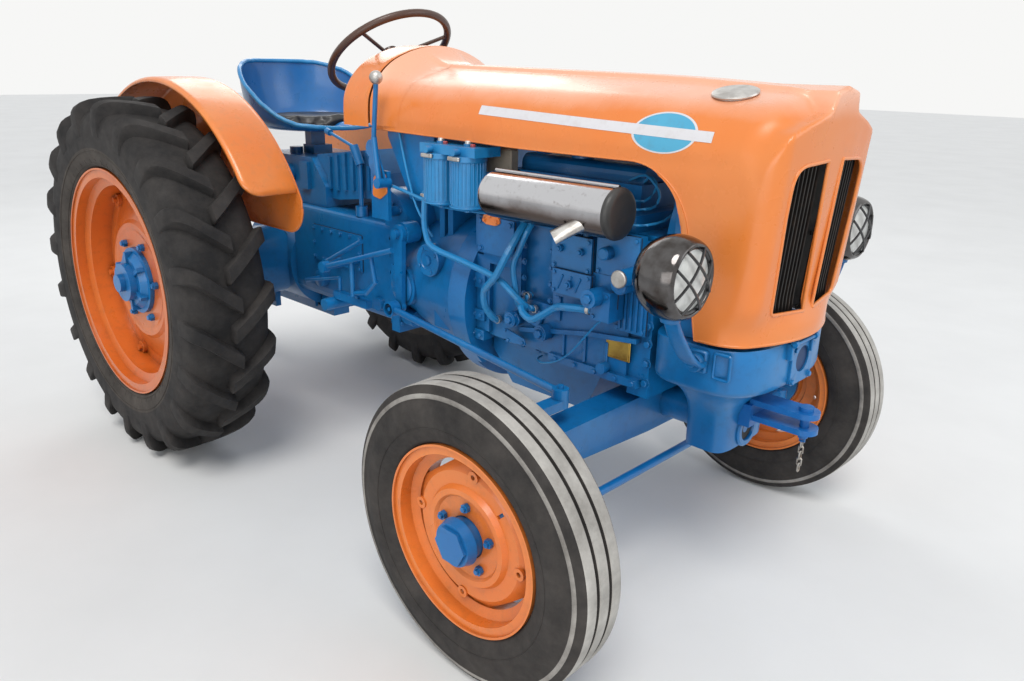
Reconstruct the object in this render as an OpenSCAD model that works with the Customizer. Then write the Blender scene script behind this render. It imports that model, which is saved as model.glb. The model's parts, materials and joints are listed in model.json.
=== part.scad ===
// Vintage two-cylinder farm tractor, one assembly of separate pieces.
// X points forward, Y to the left, Z up; the origin lies on the ground, in the middle of the length.
// Inside the modules X is counted from the rear axle. What stands ahead of the gearbox is drawn
// round a front axle at axle_x, and moves as one with the front axle when the wheelbase changes.

/* [Layout] */
// Distance between the front and rear axles
wheelbase = 1665; // [1500:5:1850]
// Distance between the middles of the rear tyres
rear_track = 1260; // [1200:10:1400]
// Distance between the middles of the front tyres
front_track = 1334; // [1300:10:1450]
// How far the front hitch plates reach past the front axle
hitch_reach = 445; // [420:5:480]
// How far the drawbar reaches behind the rear axle
drawbar_reach = 700; // [660:5:760]

/* [Rear wheels] */
// Outer radius of the rear tyre over its lugs
rear_tyre_r = 602.5; // [590:0.5:620]
// Width of the rear tyre
rear_tyre_w = 285; // [260:5:300]
// Radius of the rear rim's bead seat
rear_rim_r = 355.6; // [350:0.1:362]
// Radius of the rear rim's flange
rear_flange_r = 381; // [376:1:388]
// Width of the rear rim over its flanges
rear_rim_w = 250; // [236:2:256]
// Radius of the rear hub's stud circle
rear_stud_circle_r = 138; // [130:0.5:144]
// Number of studs on a rear hub
rear_studs = 6; // [5:1:8]

/* [Front wheels] */
// Outer radius of the front tyre over its ribs
front_tyre_r = 353; // [345:0.5:362]
// Width of the front tyre
front_tyre_w = 150; // [140:2:160]
// Radius of the front rim's bead seat
front_rim_r = 203.2; // [200:0.1:206]
// Radius of the front rim's flange
front_flange_r = 222; // [218:1:226]
// Width of the front rim over its flanges
front_rim_w = 126; // [118:2:130]
// Radius of the front hub's stud circle
front_stud_circle_r = 76; // [70:0.5:82]
// Number of studs on a front hub
front_studs = 5; // [4:1:6]
// Lean of each front wheel, its top outward
camber = 2; // [0:0.5:3]

/* [Front axle and steering] */
// Distance from a kingpin to the middle of its tyre
kingpin_inset = 147; // [140:1:160]
// Radius of a kingpin
kingpin_r = 18; // [15:0.5:22]
// Height of the front axle beam's middle
beam_z = 480; // [465:5:495]
// Depth of the front axle beam
beam_h = 110; // [90:5:120]
// Thickness of the front axle beam, front to back
beam_t = 84; // [70:2:96]
// Length of the arms that the tie rod joins
tie_arm = 110; // [100:2:120]
// Length of the arm that the drag link pushes
steer_arm = 115; // [105:1:125]
// Length of the drop arm under the steering box
drop_arm_len = 230; // [215:5:245]
// Radius of the steering wheel at the middle of its rim
wheel_rim_r = 202; // [185:1:215]
// Thickness of the steering wheel's rim
wheel_rim_d = 24; // [18:1:30]
// Slope of the steering column from the vertical
column_tilt = 36; // [30:1:42]

/* [Hood] */
// Width of the hood at its middle
hood_w = 500; // [470:5:520]
// Thickness of the sheet of the hood and its nose
sheet_t = 4; // [3:0.5:6]
// Height of the hood's lower edge at the nose
nose_bottom_z = 754; // [745:1:765]
// Height of the hood's top along its middle
hood_top_z = 1306; // [1290:2:1320]
// Number of upright bars in each half of the grille
grille_bars = 7; // [5:1:9]
// Width of the bar between the two halves of the grille
centre_bar_w = 46; // [36:2:60]

/* [Fenders and seat] */
// Distance from the axle to the fender's crown
fender_r = 664; // [645:1:690]
// Width of a fender
fender_w = 178; // [160:2:200]
// Width of the seat pan
seat_w = 470; // [420:5:500]
// Height of the seat pan's floor
seat_z = 1085; // [1060:5:1100]

/* [Engine and drive] */
// Half width of the engine block
block_hw = 200; // [180:5:215]
// Half width of the gearbox
gearbox_hw = 155; // [140:5:170]
// Radius of the exhaust silencer
silencer_r = 58; // [50:1:62]
// Radius of a fuel filter canister
canister_r = 47; // [42:1:50]
// Radius of the lens ring of a headlamp
lamp_r = 88; // [80:1:95]
// Distance between the headlamps' middles
lamp_span = 808; // [790:2:840]

/* [Hidden] */
$fn = 48;
left = 1;
right = -1;
seat_gap = 0.3;
run_gap = 0.05;
axle_x = 1665;
ahead = wheelbase - axle_x;
mid_x = (wheelbase + hitch_reach - drawbar_reach) / 2;
paint_orange = [0.93, 0.42, 0.10];
paint_blue = [0.10, 0.38, 0.72];
bright_steel = [0.72, 0.72, 0.70];
dark_rubber = [0.10, 0.10, 0.11];
lamp_black = [0.08, 0.08, 0.08];

// Points of an arc in a plane
function arc(cx, cy, r, a0, a1, n = 8) =
    [for (i = [0:n]) let (a = a0 + (a1 - a0) * i / n) [cx + r * cos(a), cy + r * sin(a)]];

module block(x0, x1, y0, y1, z0, z1) translate([x0, y0, z0]) cube([x1 - x0, y1 - y0, z1 - z0]);
module along_x(x0, x1, y, z, r) translate([x0, y, z]) rotate([0, 90, 0]) cylinder(h = x1 - x0, r = r);
module along_y(y0, y1, x, z, r) translate([x, y1, z]) rotate([90, 0, 0]) cylinder(h = y1 - y0, r = r);
module along_z(z0, z1, x, y, r) translate([x, y, z0]) cylinder(h = z1 - z0, r = r);
// A round bar from point p to point q
module bar(p, q, r) {
    d = q - p;
    translate(p) rotate([0, acos(d[2] / norm(d)), atan2(d[1], d[0])]) cylinder(h = norm(d), r = r);
}
// An outline drawn from the side, thick from y0 to y1
module side_cut(y0, y1) translate([0, y1, 0]) rotate([90, 0, 0]) linear_extrude(y1 - y0) children();
// An outline drawn from the front, long from x0 to x1
module front_cut(x0, x1) translate([x0, 0, 0]) rotate([90, 0, 90]) linear_extrude(x1 - x0) children();
// An outline drawn from above, high from z0 to z1
module plan_cut(z0, z1) translate([0, 0, z0]) linear_extrude(z1 - z0) children();
module both_sides() { children(); mirror([0, 1, 0]) children(); }
// Boxes from a table whose columns are [rear, front, right, left, bottom, top]
module blocks(table) for (b = table) block(b[0], b[1], b[2], b[3], b[4], b[5]);
// Round bars from a table whose columns are [from, to, radius]
module bars(table) for (b = table) bar(b[0], b[1], b[2]);

// A ring with flat facets round the z axis; its outline lists [radius, z] anticlockwise
function ring_points(outline, n) = [for (i = [0:n - 1], p = outline)
    let (a = i * 360 / n) [p[0] * cos(a), p[0] * sin(a), p[1]]];
function ring_faces(m, n) = [for (i = [0:n - 1], j = [0:m - 1])
    let (k = (i + 1) % n, l = (j + 1) % m) [i * m + j, i * m + l, k * m + l, k * m + j]];
module ring(outline, n)
    polyhedron(points = ring_points(outline, n), faces = ring_faces(len(outline), n));
function both_halves(half) = concat([for (p = half) [p[0], -p[1]]],
    [for (i = [1:len(half)]) half[len(half) - i]]);

// Rear wheel: the profile's first number is the radius, its second grows outward
rear_bead_gap = 0.4;
module at_rear_wheel(side)
    translate([0, side * rear_track / 2, rear_tyre_r]) rotate([-side * 90, 0, 0]) children();
tyre_facets = 28;
facet_slack = 1 / cos(180 / tyre_facets);
rear_lugs = 20;
lug_h = 32;
// Half of the carcass section, from the bead outward to the crown: [radius, half width]
rear_half_section = [
    [(rear_rim_r + rear_bead_gap) * facet_slack, rear_rim_w / 2 - 11.4],
    [(rear_flange_r + 1) * facet_slack, rear_rim_w / 2 - 11.4],
    [rear_flange_r + 22, rear_tyre_w / 2 - 12],
    [rear_tyre_r - 122, rear_tyre_w / 2 - 3.5],
    [rear_tyre_r - lug_h - 22, rear_tyre_w / 2 - 15],
    [rear_tyre_r - lug_h, rear_tyre_w / 2 - 48]];
// A lug's stations: [place across, leading edge, trailing edge, outer radius, root radius]
lug_stations = [
    [-12, 26, -26, rear_tyre_r, rear_tyre_r - 45],
    [rear_tyre_w / 2 - 30, -80, -131, rear_tyre_r - 6, rear_tyre_r - 60],
    [rear_tyre_w / 2, -90, -143, rear_tyre_r - 48, rear_tyre_r - 115]];
lug_draft = 6;
function lug_point(r, t, z) = let (a = t / rear_tyre_r * 180 / PI) [r * cos(a), r * sin(a), z];
lug_points = [for (s = lug_stations) each [
    lug_point(s[4], s[1] + lug_draft, s[0]), lug_point(s[3], s[1], s[0]),
    lug_point(s[3], s[2], s[0]), lug_point(s[4], s[2] - lug_draft, s[0])]];
lug_faces = concat([[3, 2, 1, 0], [8, 9, 10, 11]],
    [for (s = [0, 4], j = [0:3]) let (l = (j + 1) % 4)
        each [[s + j, s + l, s + 4 + l], [s + j, s + 4 + l, s + 4 + j]]]);
lug_phase = -26 / rear_tyre_r * 180 / PI;
module rear_tyre(side) color(dark_rubber) at_rear_wheel(side) mirror([0, side > 0 ? 0 : 1, 0]) {
    ring(both_halves(rear_half_section), tyre_facets);
    for (i = [0:rear_lugs - 1]) {
        rotate(i * 360 / rear_lugs + lug_phase) polyhedron(points = lug_points, faces = lug_faces);
        rotate((i + 0.5) * 360 / rear_lugs + lug_phase) mirror([0, 0, 1])
            polyhedron(points = lug_points, faces = lug_faces);
    }
}
// One edge of a pressed rim's section: its lip, flange, bead seat and well, "off" metal away from the tyre
function rim_edge(s, off, seat_r, flange_r, w, well) = [
    [flange_r - off, s * w / 2],
    [flange_r - off, s * (w / 2 - 11 + off)],
    [seat_r - off, s * (w / 2 - 11 + off)],
    [seat_r - off, s * (w / 2 - 42 + off)],
    [seat_r - well - off, s * (w / 2 - 52 + off)]];
function reversed(list) = [for (i = [1:len(list)]) list[len(list) - i]];
module rim_profile(seat_r, flange_r, w, well, t) polygon(concat(
    rim_edge(-1, 0, seat_r, flange_r, w, well), reversed(rim_edge(1, 0, seat_r, flange_r, w, well)),
    rim_edge(1, t, seat_r, flange_r, w, well), reversed(rim_edge(-1, t, seat_r, flange_r, w, well))));
disc_out = 45;
// Clamps that hold the disc to the rim: their circle and the turn of the first one
clamp_circle_r = 306;
clamps = 6;
clamp_turn = 6;
stud_turn = 3;
module rear_rim(side) color(paint_orange) at_rear_wheel(side) difference() {
    union() {
        rotate_extrude() {
            rim_profile(rear_rim_r, rear_flange_r, rear_rim_w, 28, 6);
            // Dished disc with a raised ring
            polygon([
                [rear_hub_r + 1, disc_out - 8], [185, disc_out - 8], [250, disc_out - 34],
                [286, disc_out - 46], [324, disc_out - 46], [324, disc_out - 38],
                [288, disc_out - 38], [252, disc_out - 26], [206, disc_out - 7],
                [194, disc_out + 3], [180, disc_out + 3], [168, disc_out], [rear_hub_r + 1, disc_out]]);
        }
        for (i = [0:clamps - 1]) rotate(i * 360 / clamps - side * clamp_turn)
            translate([clamp_circle_r, 0, disc_out - 40]) {
                cylinder(h = 16, r = 22);
                cylinder(h = 27, r = 10);
            }
    }
    for (i = [0:rear_studs - 1]) rotate(i * 360 / rear_studs - side * stud_turn)
        translate([rear_stud_circle_r, 0, disc_out - 20]) cylinder(h = 40, r = 10);
}
half_shaft_r = 30;
rear_hub_r = 112;
module rear_hub(side) color(paint_blue) at_rear_wheel(side) {
    difference() {
        union() {
            translate([0, 0, trumpet_end + seat_gap - rear_track / 2]) cylinder(h = 130 + disc_out, r = 70);
            translate([0, 0, disc_out - 26]) cylinder(h = 18 - seat_gap, r = 168);
            translate([0, 0, disc_out - 10]) cylinder(h = 24, r = rear_hub_r);
            translate([0, 0, disc_out + 14]) cylinder(h = 20, r1 = 96, r2 = 80);
            translate([0, 0, disc_out + 30]) cylinder(h = 28, r = 64);
            translate([0, 0, disc_out + 50]) cylinder(h = 26, r = 30);
        }
        translate([0, 0, trumpet_end - rear_track / 2 - 1]) cylinder(h = 82, r = half_shaft_r + run_gap);
    }
    for (i = [0:rear_studs - 1]) rotate(i * 360 / rear_studs - side * stud_turn)
        translate([rear_stud_circle_r, 0, disc_out - 12]) {
            cylinder(h = 32, r = 8);
            translate([0, 0, 12 + seat_gap]) cylinder(h = 13, r = 13, $fn = 6);
        }
    // Webs between the flange and the cap
    for (i = [0:rear_studs - 1]) rotate((i + 0.5) * 360 / rear_studs - side * stud_turn)
        translate([60, -7, disc_out + 10]) cube([40, 14, 30]);
}

// Front wheel, built the same way
tread_half = 52;
front_wheel_z = front_tyre_r * cos(camber) + tread_half * sin(camber);
module at_front_wheel(side) translate([axle_x, side * front_track / 2, front_wheel_z])
    rotate([-side * (90 + camber), 0, 0]) children();
// Half of its section: [radius, half width], with one groove in each half of the tread
groove_y = 19;
groove_h = 9;
front_half_section = [
    [(front_rim_r + rear_bead_gap) * facet_slack, front_rim_w / 2 - 11.4],
    [(front_flange_r + 1) * facet_slack, front_rim_w / 2 - 11.4],
    [front_flange_r + 12, front_tyre_w / 2 - 11],
    [front_flange_r + 50, front_tyre_w / 2],
    [front_tyre_r - 35, front_tyre_w / 2 - 7],
    [front_tyre_r, tread_half],
    [front_tyre_r, groove_y + 6],
    [front_tyre_r - groove_h, groove_y],
    [front_tyre_r, groove_y - 6]];
module front_tyre(side) color(dark_rubber) at_front_wheel(side)
    ring(both_halves(front_half_section), tyre_facets);
front_disc_out = 33;
stub_r = 22;
front_stud_turn = 15;
disc_flat = 163;
disc_turn = 37;
lobe_hole_r = 155;
module front_rim(side) color(paint_orange) at_front_wheel(side) difference() {
    union() {
        rotate_extrude() rim_profile(front_rim_r, front_flange_r, front_rim_w, 22, 5);
        // Disc with a raised ring, cut square so that only its four lobes reach the rim
        intersection() {
            rotate_extrude() polygon([
                [50, front_disc_out - 6], [96, front_disc_out - 6], [101, front_disc_out + 1],
                [114, front_disc_out + 1], [119, front_disc_out - 10], [150, front_disc_out - 10],
                [178, front_disc_out - 31], [179, front_disc_out - 24], [152, front_disc_out - 4],
                [122, front_disc_out - 4], [114, front_disc_out + 7], [101, front_disc_out + 7],
                [95, front_disc_out], [50, front_disc_out]]);
            rotate(-side * disc_turn) translate([-disc_flat, -disc_flat, -60])
                cube([2 * disc_flat, 2 * disc_flat, 160]);
        }
        for (i = [0:3]) rotate(-side * (disc_turn - 45) + i * 90)
            translate([lobe_hole_r, 0, front_disc_out - 8]) cylinder(h = 7, r = 14);
    }
    for (i = [0:3]) rotate(-side * (disc_turn - 45) + i * 90)
        translate([lobe_hole_r, 0, front_disc_out - 40]) cylinder(h = 60, r = 6);
    // Slot for the valve
    rotate(-side * 43) translate([126, -4, 0]) cube([22, 8, 60]);
    for (i = [0:front_studs - 1]) rotate(i * 360 / front_studs - side * front_stud_turn)
        translate([front_stud_circle_r, 0, front_disc_out - 20]) cylinder(h = 40, r = 8);
}
module front_hub(side) color(paint_blue) at_front_wheel(side) {
    difference() {
        union() {
            translate([0, 0, -70]) cylinder(h = 60 + front_disc_out, r = 46);
            translate([0, 0, front_disc_out - 6 - 12 - seat_gap]) cylinder(h = 12, r = 90);
            translate([0, 0, front_disc_out - 18]) cylinder(h = 40, r = 48);
            translate([0, 0, front_disc_out + 22]) cylinder(h = 22, r1 = 56, r2 = 50);
            translate([0, 0, front_disc_out + 44]) cylinder(h = 8, r = 46, $fn = 6);
            for (i = [0:front_studs - 1]) rotate(i * 360 / front_studs - side * front_stud_turn)
                translate([front_stud_circle_r, 0, front_disc_out - 10]) {
                    cylinder(h = 26, r = 6);
                    translate([0, 0, 10 + seat_gap]) cylinder(h = 10, r = 11, $fn = 6);
                }
        }
        translate([0, 0, -71]) cylinder(h = 71 + front_disc_out, r = stub_r + run_gap);
    }
}

// Front axle: a tapered beam with an upright boss at each end, hung on a pin in the front support
kingpin_y = front_track / 2 - kingpin_inset;
boss_bottom = 412;
boss_top = 562;
pivot_z = beam_z + 10;
pivot_r = 20;
module front_axle() color(paint_blue) {
    difference() {
        union() {
            front_cut(axle_x - beam_t / 2, axle_x + beam_t / 2) polygon([
                [-kingpin_y, beam_z - 34], [-kingpin_y, beam_z + 50], [-120, beam_z + beam_h / 2],
                [120, beam_z + beam_h / 2], [kingpin_y, beam_z + 50], [kingpin_y, beam_z - 34],
                [90, beam_z - beam_h / 2], [-90, beam_z - beam_h / 2]]);
            for (s = [left, right]) along_z(boss_bottom, boss_top, axle_x, s * kingpin_y, 38);
            along_x(axle_x - 70, pedestal_x[0] - seat_gap, 0, pivot_z, 46);
        }
        for (s = [left, right])
            along_z(boss_bottom - 1, boss_top + 1, axle_x, s * kingpin_y, kingpin_r + run_gap);
    }
    along_x(pedestal_x[0] - 2, pedestal_x[1], 0, pivot_z, pivot_r);
}
// Knuckle: kingpin, stub axle, tie rod arm, and on the right also the drag link's arm
tie_z = 372;
tie_x = axle_x + tie_arm;
steer_z = 596;
arm_t = 22;
module knuckle(side) color(paint_blue) {
    y = side * kingpin_y;
    along_z(front_wheel_z - 20, boss_top + 40, axle_x, y, kingpin_r);
    along_z(front_wheel_z - 40, boss_bottom - seat_gap, axle_x, y, 36);
    along_z(boss_top + seat_gap, boss_top + 8, axle_x, y, 30);
    at_front_wheel(side) translate([0, 0, -front_track / 2 + kingpin_y]) {
        cylinder(h = front_track / 2 - kingpin_y - 70 - seat_gap, r = 32);
        cylinder(h = front_track / 2 - kingpin_y + 20, r = stub_r);
    }
    plan_cut(tie_z - arm_t - seat_gap, tie_z - seat_gap) {
        translate([axle_x, y - 18]) square([tie_arm, 36]);
        translate([tie_x, y]) circle(r = 20);
    }
    along_z(tie_z - 2, tie_z + 30, tie_x, y, 7);
    if (side == right) {
        plan_cut(steer_z - arm_t - seat_gap, steer_z - seat_gap) {
            translate([axle_x - 18, y]) square([36, steer_arm]);
            translate([axle_x, y + steer_arm]) circle(r = 20);
            translate([axle_x, y]) circle(r = 32);
        }
        along_z(steer_z - 2, steer_z + 32, axle_x, y + steer_arm, 7);
    }
}
eye_h = 24;
module tie_rod() color(paint_blue) {
    difference() {
        union() {
            along_y(-kingpin_y, kingpin_y, tie_x, tie_z + eye_h / 2, 11);
            for (s = [left, right]) along_z(tie_z, tie_z + eye_h, tie_x, s * kingpin_y, 20);
        }
        for (s = [left, right]) along_z(tie_z - 1, tie_z + eye_h + 1, tie_x, s * kingpin_y, 7.3);
    }
}
// Steering: column, box, drop arm and drag link
drop_x = 848;
drop_pivot_z = 833;
drop_y = -220;
drop_ball_z = drop_pivot_z - drop_arm_len;
link_front_y = -kingpin_y + steer_arm;
link_rear_y = drop_y - 34;
drop_play = 12;
stud_r = 6.5;
module drop_arm() color(paint_blue) {
    side_cut(drop_y - 8, drop_y + 8) {
        translate([drop_x, drop_pivot_z]) circle(r = 28);
        polygon([[drop_x - 22, drop_pivot_z], [drop_x - 13, drop_ball_z],
                 [drop_x + 13, drop_ball_z], [drop_x + 22, drop_pivot_z]]);
        translate([drop_x, drop_ball_z]) circle(r = 17);
    }
    along_y(drop_y - 22, drop_y, drop_x, drop_pivot_z, 14);
    along_y(drop_y, drop_y + 70, drop_x, drop_pivot_z, 16);
    along_y(link_rear_y - 14, drop_y, drop_x, drop_ball_z, stud_r);
}
module drag_link() color(paint_blue) {
    front = [axle_x, link_front_y, steer_z + eye_h / 2];
    rear = [drop_x, link_rear_y, drop_ball_z];
    difference() {
        union() {
            bar(rear, front, 10);
            along_z(steer_z, steer_z + eye_h, axle_x, link_front_y, 20);
            along_y(link_rear_y - 16, link_rear_y + 16, drop_x, drop_ball_z, stud_r + drop_play + 5);
        }
        along_z(steer_z - 1, steer_z + eye_h + 1, axle_x, link_front_y, 7.3);
        along_y(link_rear_y - 17, link_rear_y + 17, drop_x, drop_ball_z, stud_r + drop_play);
    }
}
// The steering wheel stands on a column that leans back
wheel_x = 545;
wheel_z = 1353;
column_foot = 640;
module at_wheel() translate([wheel_x, 0, wheel_z]) rotate([0, -column_tilt, 0]) children();
module steering_wheel() at_wheel() {
    color([0.20, 0.11, 0.07]) rotate_extrude() translate([wheel_rim_r, 0]) circle(d = wheel_rim_d);
    color([0.35, 0.35, 0.36]) {
        difference() {
            translate([0, 0, -40]) cylinder(h = 50, r = 26);
            translate([0, 0, -41]) cylinder(h = 46, r = 11 + run_gap);
        }
        for (i = [0:2]) rotate(60 + i * 120)
            bar([14, 0, -14], [wheel_rim_r, 0, 0], 6);
    }
}
// The steering box is a quarter of a disc on the gearbox, seen from the side
box_x = 722;
box_r = 118;
module steering_column() color(paint_blue) {
    difference() {
        union() {
            at_wheel() translate([0, 0, -column_foot]) cylinder(h = column_foot - 50, r = 22);
            block(box_x + 20, 940, -60, 60, gearbox_top + seat_gap, 905);
            intersection() {
                along_y(-175, 60, box_x, gearbox_top - 2, box_r);
                block(box_x, box_x + box_r, -175, 60, gearbox_top + seat_gap, gearbox_top + box_r);
            }
            along_y(drop_y + 8 + seat_gap, -160, drop_x, drop_pivot_z, 34);
        }
        bell_cone(seat_gap);
        block(gearbox_front - flange_t - seat_gap, gearbox_front + flange_t + seat_gap,
              -flange_hw - 1, flange_hw + 1, gearbox_top - 40, flange_top + seat_gap);
        along_y(drop_y, drop_y + 72, drop_x, drop_pivot_z, 16 + run_gap);
    }
    at_wheel() translate([0, 0, -60]) cylinder(h = 60, r = 11);
}

// Drive train, from the clutch housing back to the rear axle
bell_front = 1165;
gearbox_front = 760;
gearbox_rear = 150;
shaft_z = 680;
gearbox_top = 835;
gearbox_bottom = 500;
flange_t = 20;
flange_hw = gearbox_hw + 18;
flange_top = gearbox_top + 10;
plate_t = 7;
boss_h = 26;
module flange_outline() translate([-flange_hw, gearbox_bottom - 10])
    square([2 * flange_hw, flange_top - gearbox_bottom + 10]);
// The gearbox reaches from the rear axle's case to the clutch housing, wherever that stands
module gearbox() color(paint_blue) {
    front = gearbox_front + ahead;
    front_cut(gearbox_rear, front) polygon(concat(
        arc(gearbox_hw - 16, gearbox_top - 16, 16, 0, 90, 3),
        arc(-gearbox_hw + 16, gearbox_top - 16, 16, 90, 180, 3),
        arc(-gearbox_hw + 50, gearbox_bottom + 50, 50, 180, 270, 4),
        arc(gearbox_hw - 50, gearbox_bottom + 50, 50, 270, 360, 4)));
    front_cut(front - flange_t, front) flange_outline();
    // Cover plates on both sides and below, and round bosses
    block(gearbox_rear + 100, front - 120, -90, 90, gearbox_bottom - 12, gearbox_bottom + 1);
    both_sides() {
        block(gearbox_rear + 130, front - 190, gearbox_hw - 1, gearbox_hw + plate_t,
              gearbox_bottom + 150, gearbox_top - 60);
        along_y(gearbox_hw - 1, gearbox_hw + boss_h, 330, gearbox_bottom + 90, 34);
        along_y(gearbox_hw - 1, gearbox_hw + 16, 660, gearbox_bottom + 60, 22);
    }
}
module bell_cone(extra) translate([gearbox_front + 10, 0, shaft_z]) rotate([0, 90, 0])
    cylinder(h = bell_front - 60 - gearbox_front - 10, r1 = gearbox_hw + 12 + extra, r2 = 245 + extra);
bell_r = 262;
module clutch_housing() color(paint_blue) {
    front_cut(gearbox_front, gearbox_front + flange_t) flange_outline();
    bell_cone(0);
    along_x(bell_front - 61, bell_front - 45, 0, shaft_z, bell_r - 10);
    along_x(bell_front - 46, bell_front, 0, shaft_z, bell_r);
    // Side box with a rounded front that covers the clutch fork, and the foot below the bell
    side_cut(-200, -120) {
        translate([830, gearbox_bottom + 160]) circle(r = 62);
        translate([gearbox_front + flange_t - 2, gearbox_bottom + 98]) square([54, 124]);
    }
    side_cut(-214, -150) polygon([[1001, 576], [1073, 576], [1085, 625], [1000, 640]]);
    both_sides() along_x(gearbox_front + flange_t - 1, 830, 140, gearbox_bottom + 40, 26);
}
trumpet_end = rear_track / 2 - 130;
module rear_axle() color(paint_blue) {
    front_cut(-170, gearbox_rear) translate([0, rear_tyre_r]) circle(r = 178);
    along_x(-190, -168, 0, rear_tyre_r, 150);
    both_sides() {
        along_y(150, 290, 0, rear_tyre_r, 130);
        translate([0, 288, rear_tyre_r]) rotate([-90, 0, 0])
            cylinder(h = trumpet_end - 300, r1 = 100, r2 = 78);
        along_y(trumpet_end - 14, trumpet_end, 0, rear_tyre_r, 92);
    }
    both_sides() along_y(trumpet_end - 5, trumpet_end + 75, 0, rear_tyre_r, half_shaft_r);
    // Brackets that the fenders are bolted to
    both_sides() block(-70, 70, skirt_y - skirt_t / 2 - seat_gap - 16, skirt_y - skirt_t / 2 - seat_gap,
                       rear_tyre_r + 40, skirt_bottom + 60);
    both_sides() block(-60, 60, skirt_y - 60, skirt_y - 10, rear_tyre_r + 40, rear_tyre_r + 110);
    // Ribs under the case
    for (y = [-60, 0, 60]) block(-100, 120, y - 6, y + 6, rear_tyre_r - 188, rear_tyre_r - 120);
    // Power take-off shaft behind
    along_x(-262, -180, 0, rear_tyre_r - 40, 17.4);
    along_x(-212, -188, 0, rear_tyre_r - 40, 45);
    // Pins that lower links go on
    both_sides() along_y(170, 250, -20, rear_tyre_r - 165, 11);
    both_sides() block(-50, 10, 150, 172, rear_tyre_r - 190, rear_tyre_r - 100);
}
lift_shaft_x = -70;
lift_shaft_z = 930;
lift_hw = 130;
// Bars on the side of the hydraulic tank: [x, bottom, top]
tank_ribs = [[330, 900, 1010], [375, 900, 1020], [420, 905, 1030], [465, 910, 1036], [510, 915, 1030],
             [555, 920, 1000]];
module lift_housing() color(paint_blue) {
    difference() {
        union() {
            side_cut(-lift_hw, lift_hw) polygon([
                [-130, rear_tyre_r + 172], [150, rear_tyre_r + 172], [150, gearbox_top + 1],
                [330, gearbox_top + 1], [330, 906], [251, 1000], [-60, 1000], [-130, 960]]);
            // Hydraulic tank that hangs forward over the gearbox
            side_cut(-lift_hw + 25, lift_hw - 25) polygon([
                [245, 870], [371, 866], [596, 897], [600, 975], [530, 1048], [251, 1012]]);
            for (r = tank_ribs) block(r[0] - 8, r[0] + 8, -lift_hw + 16, -lift_hw + 26, r[1], r[2]);
            block(-170, -129, -45, 45, 850, 930);
            along_y(-lift_hw - 12, lift_hw + 12, lift_shaft_x, lift_shaft_z, 44);
            along_y(-lift_hw - 18, -lift_hw + 1, 110, 935, 34);
            block(190, 240, -lift_hw - 14, -lift_hw + 1, 890, 985);
            along_z(1000, 1022, 60, -70, 24);
        }
        along_y(-lift_hw - 20, lift_hw + 20, lift_shaft_x, lift_shaft_z, 22 + run_gap);
        along_y(-60, 60, -152, 900, 10);
        block(-175, -135, -20, 20, 840, 940);
        block(-200, 160, -gearbox_hw - 30, gearbox_hw + 30, 700, rear_tyre_r + 178.3);
        block(140, 340, -gearbox_hw - 30, gearbox_hw + 30, 700, gearbox_top + seat_gap);
    }
}
module lift_arms() color(paint_blue) {
    along_y(-lift_hw - 60, lift_hw + 60, lift_shaft_x, lift_shaft_z, 22);
    both_sides() side_cut(lift_hw + 20, lift_hw + 44) difference() {
        union() {
            translate([lift_shaft_x, lift_shaft_z]) circle(r = 40);
            polygon([[lift_shaft_x, lift_shaft_z + 36], [lift_shaft_x, lift_shaft_z - 36],
                     [lift_shaft_x - 230, lift_shaft_z - 76], [lift_shaft_x - 230, lift_shaft_z - 34]]);
            translate([lift_shaft_x - 230, lift_shaft_z - 55]) circle(r = 24);
        }
        translate([lift_shaft_x - 230, lift_shaft_z - 55]) circle(r = 9.5);
    }
}
drawbar_z = rear_tyre_r - 202.5;
module drawbar() color(paint_blue) {
    difference() {
        plan_cut(drawbar_z - 12, drawbar_z + 12) {
            translate([-drawbar_reach + 40, -35]) square([drawbar_reach + 160, 70]);
            translate([-drawbar_reach + 40, 0]) circle(r = 40);
        }
        along_z(drawbar_z - 20, drawbar_z + 20, -drawbar_reach + 40, 0, 16);
    }
    difference() {
        block(-150, -110, -60, 60, drawbar_z + 11, rear_tyre_r - 130);
        along_x(-171, -100, 0, rear_tyre_r, 178 + seat_gap);
    }
    block(160, 200, -60, 60, drawbar_z + 11, gearbox_bottom - seat_gap);
}

// Engine
block_top = 1000;
block_front = 1700;
pan_z = 600;
// Raised forms on the right of the engine: [rear, front, right, left, bottom, top]
engine_side = [
    [bell_front, 1235, -214, -190, 612, 829],
    [bell_front, 1223, -222, -190, 735, 778],
    [bell_front, 1223, -222, -190, 641, 672],
    [bell_front, 1221, -222, -190, 584, 613],
    [1195, 1330, -222, -190, 838, 938],
    [1210, 1316, -214, -190, 810, 840],
    [1466, 1486, -206, -190, 700, 935],
    [1662, 1753, -208, -180, 721, 860],
    [1455, 1740, -210, -190, 586, 606]];
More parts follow.
